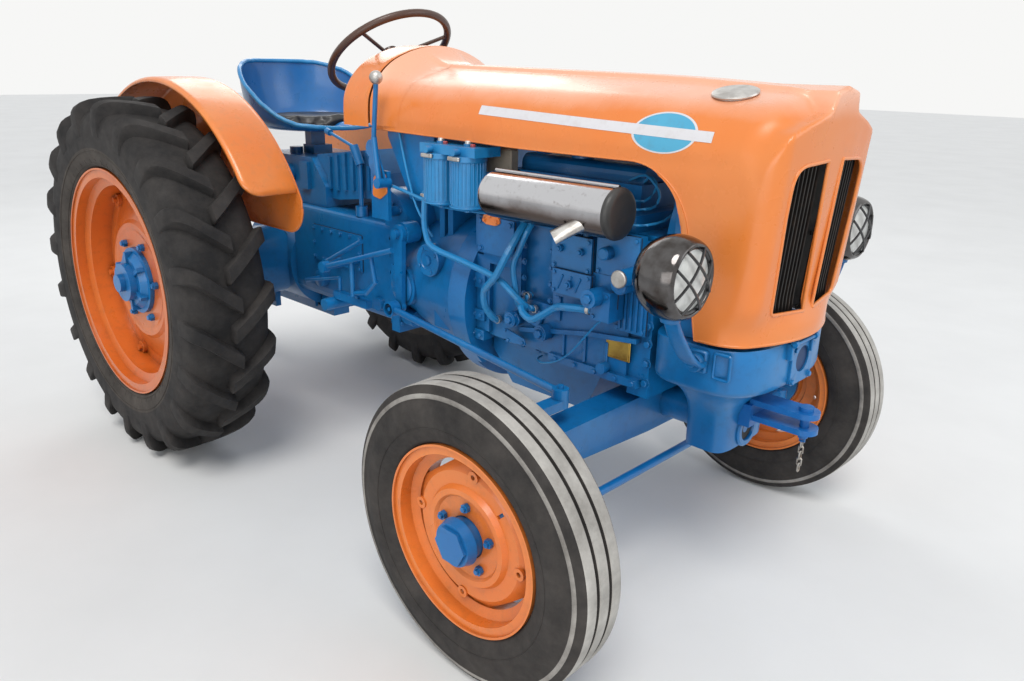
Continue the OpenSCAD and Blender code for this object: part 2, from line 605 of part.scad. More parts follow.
// Forms of the left side: starter cradle, dynamo bracket, breather box
engine_left = [
    [1180, 1300, 190, 222, 610, 700],
    [1560, 1640, 190, 250, 745, 790],
    [1330, 1500, 190, 216, 760, 900]];
cover_ribs = 5;
module engine_block() color(paint_blue) {
    difference() {
        block(bell_front, block_front, -block_hw, block_hw, pan_z, block_top);
        block(1340, 1455, -block_hw - 1, -block_hw + 22, 733, 933);
    }
    front_cut(bell_front, bell_front + 20) intersection() {
        translate([0, shaft_z]) circle(r = bell_r);
        translate([-bell_r - 1, 500]) square([2 * bell_r + 2, 500]);
    }
    block(block_front - 1, block_front + 60, -block_hw + 10, block_hw - 10, pan_z - 40, 960);
    blocks(engine_side);
    blocks(engine_left);
    for (i = [0:cover_ribs - 1]) block(1676 + 16 * i, 1682 + 16 * i, -213, -206, 728, 852);
    // Sloping ledge over the oil pan, lever boss and oil filter neck
    side_cut(-212, -190) polygon([[1349, 640], [1586, 684], [1732, 699], [1732, 711], [1586, 696],
                                  [1349, 652]]);
    along_y(-240, -190, 1338, 676, 20);
    along_y(-232, -190, 1440, 660, 22);
    along_y(-226, -190, 1640, 615, 14);
    // Cylinder head with its rocker cover, and the manifold's stub
    block(bell_front + 60, block_front - 40, -130, 120, block_top - 1, block_top + 60);
    front_cut(bell_front + 75, block_front - 55) polygon(concat(
        [[-100, block_top + 59], [90, block_top + 59]], arc(65, block_top + 75, 25, 0, 90, 4),
        arc(-75, block_top + 75, 25, 90, 180, 4)));
    // Starter and dynamo on the left
    along_x(1176, 1380, 245, 655, 46);
    along_x(1378, 1400, 245, 655, 30);
    along_x(1550, 1722, 262, 815, 54);
    along_x(1720, 1748, 262, 815, 34);
    // Oil pan: its front half is shallow, clear of the axle beam
    side_cut(-150, 150) polygon([
        [bell_front + 25, pan_z + 1], [bell_front + 25, pan_z - 60], [1270, 452], [1540, 452],
        [1585, pan_z - 45], [block_front - 5, pan_z - 45], [block_front - 5, pan_z + 1]]);
    block(bell_front + 20, block_front - 1, -175, 175, pan_z - 14, pan_z + 1);
}
radiator_x = [1800, 1880];
module radiator() color(paint_blue) {
    block(radiator_x[0], radiator_x[1], -190, 190, support_top + seat_gap, 1120);
    block(radiator_x[0] - 6, radiator_x[1] + 6, -196, 196, 1118, 1180);
    block(radiator_x[0] - 6, radiator_x[1] + 6, -196, 196, 790, 812);
    along_x(radiator_x[0] - 34, radiator_x[0] + 1, 0, 940, 170);
    along_z(1170, 1235, 1830, -60, 30);
}
silencer_x = [1320, 1735];
silencer_y = -300;
silencer_z = 1020;
module silencer() color(bright_steel) {
    along_x(silencer_x[0] + 14, silencer_x[1] - 14, silencer_y, silencer_z, silencer_r);
    translate([silencer_x[0], silencer_y, silencer_z]) rotate([0, 90, 0])
        cylinder(h = 14.5, r1 = silencer_r - 14, r2 = silencer_r);
    translate([silencer_x[1] - 14.5, silencer_y, silencer_z]) rotate([0, 90, 0])
        cylinder(h = 14.5, r1 = silencer_r, r2 = silencer_r - 14);
    // Folded seam along its top
    block(silencer_x[0] + 16, silencer_x[1] - 16, silencer_y + 4, silencer_y + 10,
          silencer_z + silencer_r - 6, silencer_z + silencer_r + 6);
    difference() {
        bar([1650, silencer_y - 20, silencer_z - 10], [1575, silencer_y - 85, silencer_z - 58], 21);
        bar([1613, silencer_y - 52, silencer_z - 34], [1570, silencer_y - 89, silencer_z - 61], 18);
    }
    along_y(silencer_y, -130 - seat_gap, 1480, block_top + 30, 26);
    block(1430, 1530, -142, -130 - seat_gap, block_top + 2, block_top + 58);
}
module air_pipe() color(paint_blue) {
    along_x(1330, 1700, -110, 1156, 46);
    along_x(1320, 1345, -110, 1156, 50);
    along_x(1640, 1660, -110, 1156, 50);
    along_z(block_top + 100 + seat_gap, 1150, 1420, -60, 30);
    along_y(-110, 40, 1420, 1156, 34);
}
filter_x = [1083, 1190];
filter_y = -255;
module fuel_filters() color(paint_blue) {
    for (x = filter_x) {
        along_z(966, 1092, x, filter_y, canister_r);
        translate([x, filter_y, 956]) cylinder(h = 10.5, r1 = canister_r - 14, r2 = canister_r);
        along_z(948, 960, x, filter_y, 10);
        along_z(1085, 1098, x, filter_y, canister_r + 4);
        // Bleed screws and pipe unions on the head
        along_z(1120, 1128, x, filter_y, 12);
        along_y(filter_y - 56, filter_y, x, 1108, 9);
    }
    block(filter_x[0] - 50, filter_x[1] + 60, filter_y - 34, filter_y + 60, 1097, 1122);
    block(1120, 1180, filter_y + 50, -100, 1097, 1118);
    block(1166, 1190, -130, -100, block_top + 60 + seat_gap, 1118);
}
// Injection pump: [rear, front, right, left, bottom, top]
pump_forms = [
    [1488, 1660, -214, -200.3, 770, 950],
    [1659, 1745, -214, -200.3, 864, 950],
    [1500, 1690, -244, -213.3, 780, 860],
    [1491, 1615, -252, -213.3, 852, 940],
    [1503, 1624, -262, -243, 793, 854],
    [1622, 1745, -242, -213.3, 858, 962],
    [1634, 1690, -270, -213.3, 753, 826]];
// Round forms on the pump: [x, z, radius, outer end]
pump_rounds = [[1737, 876, 20, -304], [1650, 811, 22, -303], [1708, 850, 24, -262], [1560, 822, 10, -272],
               [1520, 905, 9, -262], [1585, 905, 9, -262], [1660, 915, 16, -262]];
module injection_pump() color(paint_blue) {
    blocks(pump_forms);
    for (r = pump_rounds) along_y(r[3], -213.3, r[0], r[1], r[2]);
    for (x = [1512, 1548, 1584]) along_z(939, 962, x, -232, 10);
    // Raised slanting bars of the lower plate
    for (i = [0:2]) bar([1522 + 28 * i, -262, 806], [1538 + 28 * i, -262, 842], 3);
}

// Hoses, pipes and wires: each is a tube swept through its points
function lerp(a, b, t) = a + (b - a) * t;
// A smooth curve through the points of a route, cut into "steps" parts between two points
function spline(p, i, t) = let (n = len(p) - 1, a = p[max(i - 1, 0)], b = p[i], c = p[i + 1],
    d = p[min(i + 2, n)]) 0.5 * (2 * b + (c - a) * t + (2 * a - 5 * b + 4 * c - d) * t * t
    + (3 * b - a - 3 * c + d) * t * t * t);
function route(p, steps) = concat([for (i = [0:len(p) - 2], k = [0:steps - 1]) spline(p, i, k / steps)],
    [p[len(p) - 1]]);
function heading(c, i) = let (v = c[min(i + 1, len(c) - 1)] - c[max(i - 1, 0)]) v / norm(v);
function sidewise(d) = let (v = cross(d, abs(d[1]) > 0.8 ? [0, 0, 1] : [0, 1, 0])) v / norm(v);
tube_sides = 8;
function tube_points(c, r) = [for (i = [0:len(c) - 1], k = [0:tube_sides - 1])
    let (d = heading(c, i), u = sidewise(d), v = cross(d, u), a = k * 360 / tube_sides)
        c[i] + r * cos(a) * u + r * sin(a) * v];
function tube_faces(n) = concat([[for (k = [0:tube_sides - 1]) k]],
    [[for (k = [0:tube_sides - 1]) n * tube_sides - 1 - k]],
    [for (i = [0:n - 2], k = [0:tube_sides - 1])
        let (a = i * tube_sides + k, b = i * tube_sides + (k + 1) % tube_sides)
        each [[a, a + tube_sides, b + tube_sides], [a, b + tube_sides, b]]]);
module tube(points, r, steps = 3) {
    c = route(points, steps);
    polyhedron(points = tube_points(c, r), faces = tube_faces(len(c)));
}
// From the filters down across the bell to the block's front
hose_a = [[1022, -262, 985], [1021, -266, 914], [1030, -268, 866], [1061, -268, 832], [1189, -266, 812],
          [1308, -262, 790], [1365, -256, 757], [1396, -236, 724], [1404, -208, 716]];
// From the silencer's shadow down, crossing the first
hose_b = [[1377, -208, 962], [1376, -246, 925], [1362, -278, 866], [1326, -282, 802], [1272, -270, 750],
          [1262, -256, 700], [1270, -232, 664], [1271, -211, 655]];
hose_c = [[1400, -208, 962], [1394, -238, 925], [1372, -246, 870], [1358, -250, 830], [1360, -240, 760],
          [1364, -232, 722], [1368, -208, 704]];
hose_d = [[1384, -208, 752], [1390, -250, 722], [1435, -262, 704], [1474, -262, 724], [1518, -260, 754],
          [1561, -268, 765], [1632, -262, 772]];
wire = [[1660, -246, 750], [1639, -244, 738], [1595, -240, 687], [1548, -236, 634], [1498, -230, 597],
        [1445, -222, 577], [1400, -190, 568], [1385, -156, 566]];
lever_rod = [[813, -243, 984], [900, -243, 972], [1000, -241, 954], [1060, -232, 945],
             [1150, -228, 945], [1240, -228, 950]];
tank_cable = [[880, -236, 1136], [902, -237, 1060], [938, -240, 968], [964, -240, 920], [992, -236, 884],
              [1010, -226, 850]];
// Pipes from the pump over the block's front to the injectors in the head
injector_a = [[1512, -232, 965], [1512, -233, 1000], [1560, -226, 1030], [1640, -200, 1040],
              [1690, -160, 1030], [1694, -118, 1062], [1668, -108, 1080], [1650, -108, 1066]];
injector_b = [[1548, -232, 965], [1551, -235, 988], [1620, -230, 1008], [1700, -200, 1016],
              [1714, -150, 1020], [1706, -124, 1050], [1660, -117, 1084], [1612, -115, 1066]];
injector_c = [[1584, -232, 965], [1587, -234, 984], [1680, -236, 985], [1732, -200, 985],
              [1742, -120, 1000], [1710, -50, 1062], [1670, -30, 1084], [1653, -30, 1066]];
module hoses() color([0.35, 0.55, 0.80]) {
    tube(hose_a, 9);
    tube(hose_b, 10);
    tube(hose_c, 8);
    tube(hose_d, 10);
    tube(wire, 2.5);
    tube(lever_rod, 5, 2);
    tube(tank_cable, 3.5);
    tube(injector_a, 3.5);
    tube(injector_b, 3.5);
    tube(injector_c, 3.5);
}
tank_hw = 225;
tank_top = 1240;
tank_x = [812, 1020];
module fuel_tank() color(paint_blue) {
    side_cut(-tank_hw, tank_hw) polygon([
        [tank_x[0] + 100, 946], [tank_x[1] - 20, 946], [tank_x[1], 1140], [tank_x[1], tank_top],
        [tank_x[0], tank_top], [tank_x[0], 1120]]);
    // Cradle that stands on the clutch housing
    difference() {
        for (x = [955, 992]) block(x, x + 22, -150, 150, 820, 947);
        bell_cone(seat_gap);
    }
}
cowl_x = [652, 783];
cowl_hw = 275;
cowl_peak = 1377;
// The dash's outline from the front: upright sides, then an arch up to the peak
module cowl_arch(i) polygon(concat(
    [[-cowl_hw + i, 1146 - 2 * i], [cowl_hw - i, 1146 - 2 * i]],
    arc(cowl_hw - 105, 1192, 105 - i, 0, 60, 5),
    arc(0, cowl_peak - 390, 390 - i, 60, 120, 12),
    arc(-cowl_hw + 105, 1192, 105 - i, 120, 180, 5)));
module cowl() color(paint_orange) {
    difference() {
        union() {
            front_cut(cowl_x[0] + 14, cowl_x[1]) cowl_arch(0);
            front_cut(cowl_x[0] + 4, cowl_x[0] + 15) cowl_arch(5);
            front_cut(cowl_x[0], cowl_x[0] + 5) cowl_arch(14);
        }
        front_cut(cowl_x[0] + 20, cowl_x[1] + 1) cowl_arch(sheet_t + 1);
        // Recess for the dials
        front_cut(cowl_x[0] - 1, cowl_x[0] + 9) cowl_arch(32);
        at_wheel() translate([0, 0, -400]) cylinder(h = 400, r = 27);
    }
    for (y = [-150, 150]) along_x(cowl_x[0] - 2, cowl_x[0] + 10, y, 1270, 38);
    // Brackets that rest on the tank
    both_sides() block(cowl_x[0] + 15, 776, 195, cowl_hw - 17, tank_top + seat_gap, tank_top + 6);
    both_sides() block(770, 840, 195, hood_w / 2 - 20, tank_top + seat_gap, tank_top + 6);
}

// Hood: one sheet from the dash to the nose, with the grille in its front
hood_rear = 785;
nose_x = 2064;
hood_hw = hood_w / 2;
nose_hw = hood_hw - 25;
shoulder_r = 95;
hinge_x = nose_x - 12;
hinge_z = nose_bottom_z - 12;
hinge_r = 8;
hinge_pin_r = 4.5;
nose_lean = 2.9;
module lean() translate([nose_x, 0, nose_bottom_z]) rotate([0, nose_lean, 0])
    translate([-nose_x, 0, -nose_bottom_z]) children();
module hood_side(i) polygon(concat(
    [[hood_rear - 1, 1140], [hood_rear - 1, hood_top_z + 20 - i],
     [1600, hood_top_z + 6 - i], [1860, hood_top_z - 5 - i]],
    arc(nose_x - 75, hood_top_z - 96, 90 - i, 72, 0, 6),
    [[nose_x - 8 - i, nose_bottom_z - 1], [1899, nose_bottom_z - 1], [1862, 950]],
    arc(1700, 966, 164, -4, 88, 8),
    [[1368, 1130]]));
module hood_plan(i) polygon(concat(
    [[hood_rear - 90, -hood_hw - 7 + i], [1600, -hood_hw + i], [1850, -nose_hw - 10 + i]],
    arc(nose_x - 106, -nose_hw + 62, 62 - i, -88, -36, 4),
    arc(nose_x - 380, 0, 380 - i, -24, 24, 8),
    arc(nose_x - 106, nose_hw - 62, 62 - i, 36, 88, 4),
    [[1850, nose_hw + 10 - i], [1600, hood_hw - i], [hood_rear - 90, hood_hw + 7 - i]]));
module hood_section(i) polygon(concat(
    [[-hood_hw - 8 + i, nose_bottom_z - 20], [hood_hw + 8 - i, nose_bottom_z - 20]],
    arc(hood_hw + 8 - shoulder_r, hood_top_z - 14 - shoulder_r, shoulder_r - i, 0, 78, 6),
    [[28, hood_top_z + 20 - i], [-28, hood_top_z + 20 - i]],
    arc(-hood_hw - 8 + shoulder_r, hood_top_z - 14 - shoulder_r, shoulder_r - i, 102, 180, 6)));
module hood_solid(i) intersection() {
    side_cut(-hood_w, hood_w) hood_side(i);
    lean() plan_cut(nose_bottom_z - 60, hood_top_z + 80) hood_plan(i);
    front_cut(hood_rear - 40, nose_x + 60) hood_section(i);
}
grille_z = [812, 1150];
grille_hw = 150;
module grille_opening(extra) for (s = [-1, 1]) polygon([
    [s * (centre_bar_w / 2 - extra), grille_z[0] - extra], [s * (grille_hw - 8 + extra), grille_z[0] - extra],
    [s * (grille_hw + extra), grille_z[0] + 20], [s * (grille_hw + 4 + extra), grille_z[1] - 70],
    [s * (grille_hw - 30 + extra), grille_z[1] - 12], [s * (centre_bar_w / 2 - extra), grille_z[1] + extra]]);
grille_x = nose_x - 58;
module hood() color(paint_orange) {
    difference() {
        union() {
            difference() {
                hood_solid(0);
                hood_solid(sheet_t);
            }
            // Rolled lip round each half of the grille
            intersection() {
                hood_solid(0);
                lean() front_cut(grille_x, nose_x + 60) difference() {
                    grille_opening(sheet_t);
                    grille_opening(0);
                }
            }
            along_y(-44, 44, hinge_x, hinge_z, hinge_r);
            block(hinge_x - 4, hinge_x + 2, -44, 44, hinge_z, nose_bottom_z + 3);
        }
        lean() front_cut(grille_x - 10, nose_x + 60) grille_opening(0);
        along_y(-46, 46, hinge_x, hinge_z, hinge_pin_r + run_gap);
    }
    along_z(hood_top_z - 12, hood_top_z + 6, 1750, -66, 48);
}
module grille() color(lamp_black) lean() {
    step = (grille_hw - centre_bar_w / 2) / grille_bars;
    front_cut(grille_x - 14, grille_x - seat_gap) {
        for (s = [-1, 1], i = [0:grille_bars - 1])
            translate([s * (centre_bar_w / 2 + (i + 0.5) * step) - 3, grille_z[0] - 10])
                square([6, grille_z[1] - grille_z[0] + 20]);
        for (z = [grille_z[0] - 10, grille_z[1] + 4])
            translate([-grille_hw - 2, z]) square([2 * grille_hw + 4, 6]);
    }
}

// Front support: the casting that carries the radiator, the lamps, the hitch and the axle's pin
support_rear = block_front + 60;
support_front = 2036;
support_top = 744;
support_bottom = 640;
support_hw = 225;
pedestal_x = [1815, 1930];
module front_support() color(paint_blue) {
    difference() {
        union() {
            plan_cut(support_bottom, support_top) polygon(concat(
                [[support_rear, -180], [support_rear + 60, -support_hw]],
                arc(support_front - 88, -145, 80, -90, -25, 4),
                [[support_front, -60], [support_front, 60]],
                arc(support_front - 88, 145, 80, 25, 90, 4),
                [[support_rear + 60, support_hw], [support_rear, 180]]));
            // Lower half, drawn in towards the pedestal
            plan_cut(support_bottom - 18, support_bottom + 1) polygon([
                [support_rear + 20, -170], [support_rear + 70, -205], [support_front - 90, -205],
                [support_front - 24, -120], [support_front - 12, -50], [support_front - 12, 50],
                [support_front - 24, 120], [support_front - 90, 205], [support_rear + 70, 205],
                [support_rear + 20, 170]]);
            front_cut(pedestal_x[0], pedestal_x[1]) polygon([
                [-205, 623], [-150, 590], [-112, 530], [-108, 440], [-58, 440], [-58, 452],
                [58, 452], [58, 440], [108, 440], [112, 530], [150, 590], [205, 623]]);
            side_cut(-150, 150) polygon([
                [1790, 623], [1842, 545], [1890, 545], [1990, 600], [2010, 623]]);
            // Plate with a round hole on the front
            block(support_front - 1, support_front + 7, -34, 69, 631, hinge_z - hinge_r - 2);
            both_sides() block(1895, 1935, support_hw - 1, support_hw + 12, 690, 735);
        }
        along_x(pedestal_x[0] - 26, pedestal_x[1] + 1, 0, pivot_z, pivot_r + run_gap);
        block(1830, 1990, -150, 150, 660, support_top + 1);
        along_x(support_front + 2, support_front + 12, 18, 692, 32);
        // Panels sunk into both sides
        both_sides() block(1948, 1990, support_hw - 6, support_hw + 1, 676, 738);
    }
    both_sides() {
        block(support_front - 4, hinge_x, 46, 56, hinge_z - 40, hinge_z + hinge_r);
        along_y(46, 56, hinge_x, hinge_z, hinge_r);
    }
    along_y(-56, 56, hinge_x, hinge_z, hinge_pin_r);
}
hitch_tip = axle_x + hitch_reach;
hitch_z = [520, 560];
hitch_pin_x = hitch_tip - 32;
hitch_pin_r = 11;
pin_eye_z = hitch_z[0] - 21;
// A chain link is an oval ring of wire with flat facets, long along z
link_r = 5.5;
link_long = 5;
link_wire = 2.2;
link_pitch = 2 * ((link_r - link_wire) * cos(22.5) + link_long) - 0.4;
links = 5;
link_points = [for (i = [0:7], k = [0:3])
    let (a = i * 45 + 22.5, w = link_wire * cos(k * 90), r = link_r + w)
        [r * cos(a), link_wire * sin(k * 90), r * sin(a) + (sin(a) > 0 ? link_long : -link_long)]];
module chain_link() polyhedron(points = link_points, faces = [for (i = [0:7], k = [0:3])
    let (a = i * 4 + k, b = i * 4 + (k + 1) % 4, c = (i + 1) % 8 * 4)
    each [[b, a, c + (k + 1) % 4], [c + (k + 1) % 4, a, c + k]]]);
module front_hitch() color(paint_blue) {
    for (z = hitch_z) difference() {
        plan_cut(z, z + 14) {
            translate([1950, -32]) square([hitch_pin_x - 1950, 64]);
            translate([hitch_pin_x, 0]) circle(r = 32);
        }
        along_z(z - 1, z + 15, hitch_pin_x, 0, 12);
    }
    block(pedestal_x[1] + seat_gap, 1962, -45, 45, 505, 562);
    // Loose pin, and the chain that hangs from its end
    color(bright_steel) {
        along_z(pin_eye_z + 6, hitch_z[1] + 15, hitch_pin_x, 0, hitch_pin_r);
        along_z(hitch_z[1] + 14 + seat_gap, hitch_z[1] + 24, hitch_pin_x, 0, 17);
        difference() {
            block(hitch_pin_x - 7, hitch_pin_x + 7, -2.2, 2.2, pin_eye_z - 6.2, pin_eye_z + 7);
            along_y(-4, 4, hitch_pin_x, pin_eye_z, 4.2);
        }
        for (i = [0:links - 1])
            translate([hitch_pin_x, 0, pin_eye_z - link_r - link_long - i * link_pitch])
                rotate(i % 2 == 0 ? 90 : 0) chain_link();
    }
}
// Headlamps on brackets from the front support
lamp_x = 1986;
lamp_z = 941;
lamp_y = lamp_span / 2;
guard_bars = [-32, 32];
module headlamps() for (s = [left, right]) {
    color(bright_steel) translate([lamp_x, s * lamp_y, lamp_z]) rotate([0, -90, 0]) {
        rotate_extrude() polygon(concat([[0, 4], [lamp_r - 4, 0], [lamp_r, 0]],
            [for (i = [0:7]) let (a = i * 11.25) [lamp_r * cos(a), 18 + 105 * sin(a)]], [[0, 123]]));
        translate([0, 0, -8]) difference() {
            cylinder(h = 10, r = lamp_r + 3);
            translate([0, 0, -1]) cylinder(h = 9.5, r = lamp_r - 8);
        }
        // Guard in front of the glass
        rotate(45) for (t = [0, 90], g = guard_bars) rotate(t)
            bar([-sqrt(lamp_r * lamp_r - g * g), g, -7], [sqrt(lamp_r * lamp_r - g * g), g, -7], 3);
    }
    color(paint_blue) {
        bar([1925, s * 252, 722], [lamp_x - 45, s * lamp_y, lamp_z - 78], 15);
        mirror([0, s > 0 ? 0 : 1, 0])
            along_y(support_hw + 12 + seat_gap, support_hw + 32, 1915, 712, 20);
    }
}

// Fenders: crowned sheets over the inner half of the rear tyres
fender_y = rear_track / 2 - 70;
fender_ends = [31, 148];
fender_t = 5;
fender_corner_r = 60;
// Keeps the rounding of a corner from running out in a feather edge
corner_ease = 0.8;
skirt_y = fender_y - fender_w + 3;
skirt_t = 5;
skirt_bottom = rear_tyre_r + 208;
skirt_corner_r = 80;
module fender(side) color(paint_orange) mirror([0, side > 0 ? 0 : 1, 0]) {
    y0 = fender_y - fender_w;
    difference() {
        translate([0, 0, rear_tyre_r]) rotate([90, 0, 0]) rotate([0, 0, fender_ends[0]])
            translate([0, 0, -fender_y]) rotate_extrude(angle = fender_ends[1] - fender_ends[0]) {
                translate([fender_r - fender_t, 0]) square([fender_t, fender_w]);
                translate([fender_r - 16, 0]) square([16, fender_t]);
            }
        // Rounded outer corners at both ends
        for (e = [0, 1]) translate([0, 0, rear_tyre_r]) rotate([0, -fender_ends[e], 0])
            mirror([0, 0, e]) translate([fender_r - 30, fender_y - fender_corner_r, -1]) difference() {
                cube([60, fender_corner_r + 1, fender_corner_r + 1]);
                translate([-1, 0, fender_corner_r + 1]) rotate([0, 90, 0])
                    cylinder(h = 62, r = fender_corner_r + corner_ease);
            }
    }
    // Inner skirt with a level lower edge
    side_cut(skirt_y - skirt_t / 2, skirt_y + skirt_t / 2) intersection() {
        translate([0, rear_tyre_r]) circle(r = fender_r - 1);
        union() {
            translate([-500, skirt_bottom]) square([1000, fender_r]);
            translate([-580, skirt_bottom + skirt_corner_r]) square([1162, fender_r]);
            translate([582 - skirt_corner_r, skirt_bottom + skirt_corner_r]) circle(r = skirt_corner_r);
            translate([-580 + skirt_corner_r, skirt_bottom + skirt_corner_r])
                circle(r = skirt_corner_r);
        }
    }
}

// Seat: a round bucket, high behind and low in front
seat_x = 95;
seat_wall = [[150, 0], [205, 10], [seat_w / 2 + 3, 47], [seat_w / 2 + 21, 145], [seat_w / 2 + 25, 235]];
module bucket(t) rotate_extrude() polygon(concat([[0, 0]], [for (p = seat_wall) p],
    [[seat_wall[4][0] - t, 235], [0, 235]]));
module seat_pan() color(paint_blue) difference() {
    intersection() {
        translate([seat_x, 0, seat_z]) bucket(0);
        // Everything above this outline is cut away: [x, z]
        side_cut(-300, 300) polygon([
            [-200, seat_z - 10], [320, seat_z - 10], [320, seat_z + 12], [235, seat_z + 14],
            [180, seat_z + 55], [95, seat_z + 120], [-30, seat_z + 200], [-120, seat_z + 232],
            [-200, seat_z + 236]]);
    }
    translate([seat_x, 0, seat_z + 5]) rotate_extrude() polygon(concat([[0, 0]],
        [for (p = seat_wall) [p[0] - 5, p[1]]], [[0, 236]]));
}
module seat_cushion() color(lamp_black) translate([seat_x + 5, 0, seat_z + 16]) {
    cylinder(h = 30, r = 180);
    translate([0, 0, -8]) cylinder(h = 8.5, r1 = 140, r2 = 180);
    translate([0, 0, 29.5]) cylinder(h = 12, r1 = 180, r2 = 140);
}
module controls() color(paint_blue) {
    // Hand lever on the right of the dash, with its plate and its post on the steering box
    block(772, 852, -262, -250, 878, 1023);
    along_y(-256, -175 - seat_gap, 785, 890, 16);
    along_y(-297, -251, 845, 990, 15);
    side_cut(-276, -270) {
        translate([797, 1085]) circle(r = 26);
        translate([806, 1045]) circle(r = 24);
        polygon([[785, 1030], [845, 980], [858, 1000], [820, 1085]]);
    }
    bars([
        [[845, -287, 992], [830, -290, 1122], 8.5],
        [[829, -290, 1116], [862, -300, 1279], 7]]);
    translate([862, -300, 1285]) rotate([90, 0, 0]) sphere(r = 18);
    // Pedals and footrests on both sides of the gearbox
    both_sides() {
        along_y(gearbox_hw + 26 + seat_gap, 300, 542, 558, 20);
        along_y(gearbox_hw + seat_gap, gearbox_hw + 27, 542, 558, 26);
        along_y(gearbox_hw + plate_t + seat_gap, 306, 549, 688, 12);
        along_y(282, 308, 549, 688, 18);
        along_y(gearbox_hw + plate_t + seat_gap, 230, 446, 674, 12);
        block(542, 724, 238, 262, 575, 600);
        bars([
            [[549, 295, 688], [907, 295, 802], 8],
            [[446, 222, 674], [656, 222, 779], 8],
            [[684, 283, 731], [676, 277, 612], 8],
            [[671, 275, 619], [750, 277, 638], 7],
            [[746, 278, 634], [799, 276, 684], 7.5],
            [[796, 277, 678], [790, 286, 762], 7],
            [[677, 281, 625], [674, 248, 593], 6],
            [[348, 246, 595], [560, 246, 645], 5],
            [[560, 246, 645], [560, 246, 590], 6],
            [[348, 248, 595], [348, gearbox_hw + boss_h + seat_gap, 595], 8]]);
    }
    // Gear lever in its boot, bent back towards the seat
    along_z(gearbox_top + seat_gap, 868, 540, -132, 20);
    along_z(864, 1014, 540, -132, 8);
    bars([
        [[543, -133, 1004], [514, -136, 1063], 15],
        [[516, -136, 1059], [372, -131, 1096], 5],
        [[376, -131, 1095], [354, -130, 1100], 11]]);
    // Post that carries the seat
    seat_post();
}
module seat_post() {
    block(60, 130, -40, 40, 1000 + seat_gap, 1030);
    block(60, 100, -30, 30, 1029, seat_z - seat_gap);
}

// Everything is drawn through here, so that the origin lies in the middle of the length
module place() translate([-mid_x, 0, 0]) children();
module place_ahead() translate([ahead - mid_x, 0, 0]) children();
place_ahead() engine_block();
place_ahead() clutch_housing();
place_ahead() front_support();
place_ahead() front_axle();
place_ahead() front_hitch();
place_ahead() headlamps();
place_ahead() radiator();
place_ahead() silencer();
place_ahead() air_pipe();
place_ahead() fuel_filters();
place_ahead() injection_pump();
place_ahead() hoses();
place_ahead() fuel_tank();
place_ahead() cowl();
place_ahead() steering_column();
place_ahead() hood();
place_ahead() grille();
place_ahead() steering_wheel();
place_ahead() drop_arm();
place_ahead() drag_link();
place_ahead() tie_rod();
place() gearbox();
place() rear_axle();
place() lift_housing();
place() seat_pan();
place() seat_cushion();
place() controls();
place() drawbar();
place() lift_arms();
place() fender(left);  // fender_left
place() fender(right);  // fender_right
place_ahead() knuckle(left);  // knuckle_left
place_ahead() knuckle(right);  // knuckle_right
place_ahead() front_tyre(left);  // front_tyre_left
place_ahead() front_tyre(right);  // front_tyre_right
place_ahead() front_rim(left);  // front_rim_left
place_ahead() front_rim(right);  // front_rim_right
place_ahead() front_hub(left);  // front_hub_left
place_ahead() front_hub(right);  // front_hub_right
place() rear_tyre(left);  // rear_tyre_left
place() rear_tyre(right);  // rear_tyre_right
place() rear_rim(left);  // rear_rim_left
place() rear_rim(right);  // rear_rim_right
place() rear_hub(left);  // rear_hub_left
place() rear_hub(right);  // rear_hub_right
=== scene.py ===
import json
import math
import numpy as np
import bpy
import bmesh
from mathutils import Vector, Matrix, Euler


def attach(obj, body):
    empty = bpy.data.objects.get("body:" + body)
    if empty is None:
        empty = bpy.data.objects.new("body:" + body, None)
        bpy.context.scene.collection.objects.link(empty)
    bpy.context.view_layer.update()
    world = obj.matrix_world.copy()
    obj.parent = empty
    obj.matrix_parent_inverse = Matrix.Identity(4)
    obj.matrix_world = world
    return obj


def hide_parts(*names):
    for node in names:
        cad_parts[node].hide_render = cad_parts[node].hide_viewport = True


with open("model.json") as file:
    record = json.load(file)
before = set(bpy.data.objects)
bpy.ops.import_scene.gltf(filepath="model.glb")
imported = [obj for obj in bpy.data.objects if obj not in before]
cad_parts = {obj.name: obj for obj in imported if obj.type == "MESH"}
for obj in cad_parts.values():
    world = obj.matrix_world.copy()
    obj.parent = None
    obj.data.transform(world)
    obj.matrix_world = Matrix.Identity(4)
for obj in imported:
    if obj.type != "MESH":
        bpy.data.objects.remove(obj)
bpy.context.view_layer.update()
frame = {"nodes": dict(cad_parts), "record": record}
MID_X = 0.705  # the frame's origin ahead of the rear axle, in metres
REAR_R = 602.5  # rear tyre's radius and the rear axle's height, in millimetres
FRONT_AXLE = (1665, 354.6)  # the front axle's x and height
SIDES = {"left": 1, "right": -1}
FRONT, REAR, LEFT, RIGHT = (1, 0, 0), (-1, 0, 0), (0, 1, 0), (0, -1, 0)


def at(x, y, z):
    """A point measured from the rear axle, in millimetres, as a frame point in metres."""
    return Vector((x / 1000 - MID_X, y / 1000, z / 1000))


# ---------------------------------------------------------------- camera, light, floor
SENSOR = 36
FOCAL_PIXELS, PHOTO_WIDTH = 819.7, 1024  # the camera solved from the photo
scene = bpy.context.scene
scene.view_settings.view_transform = "Standard"

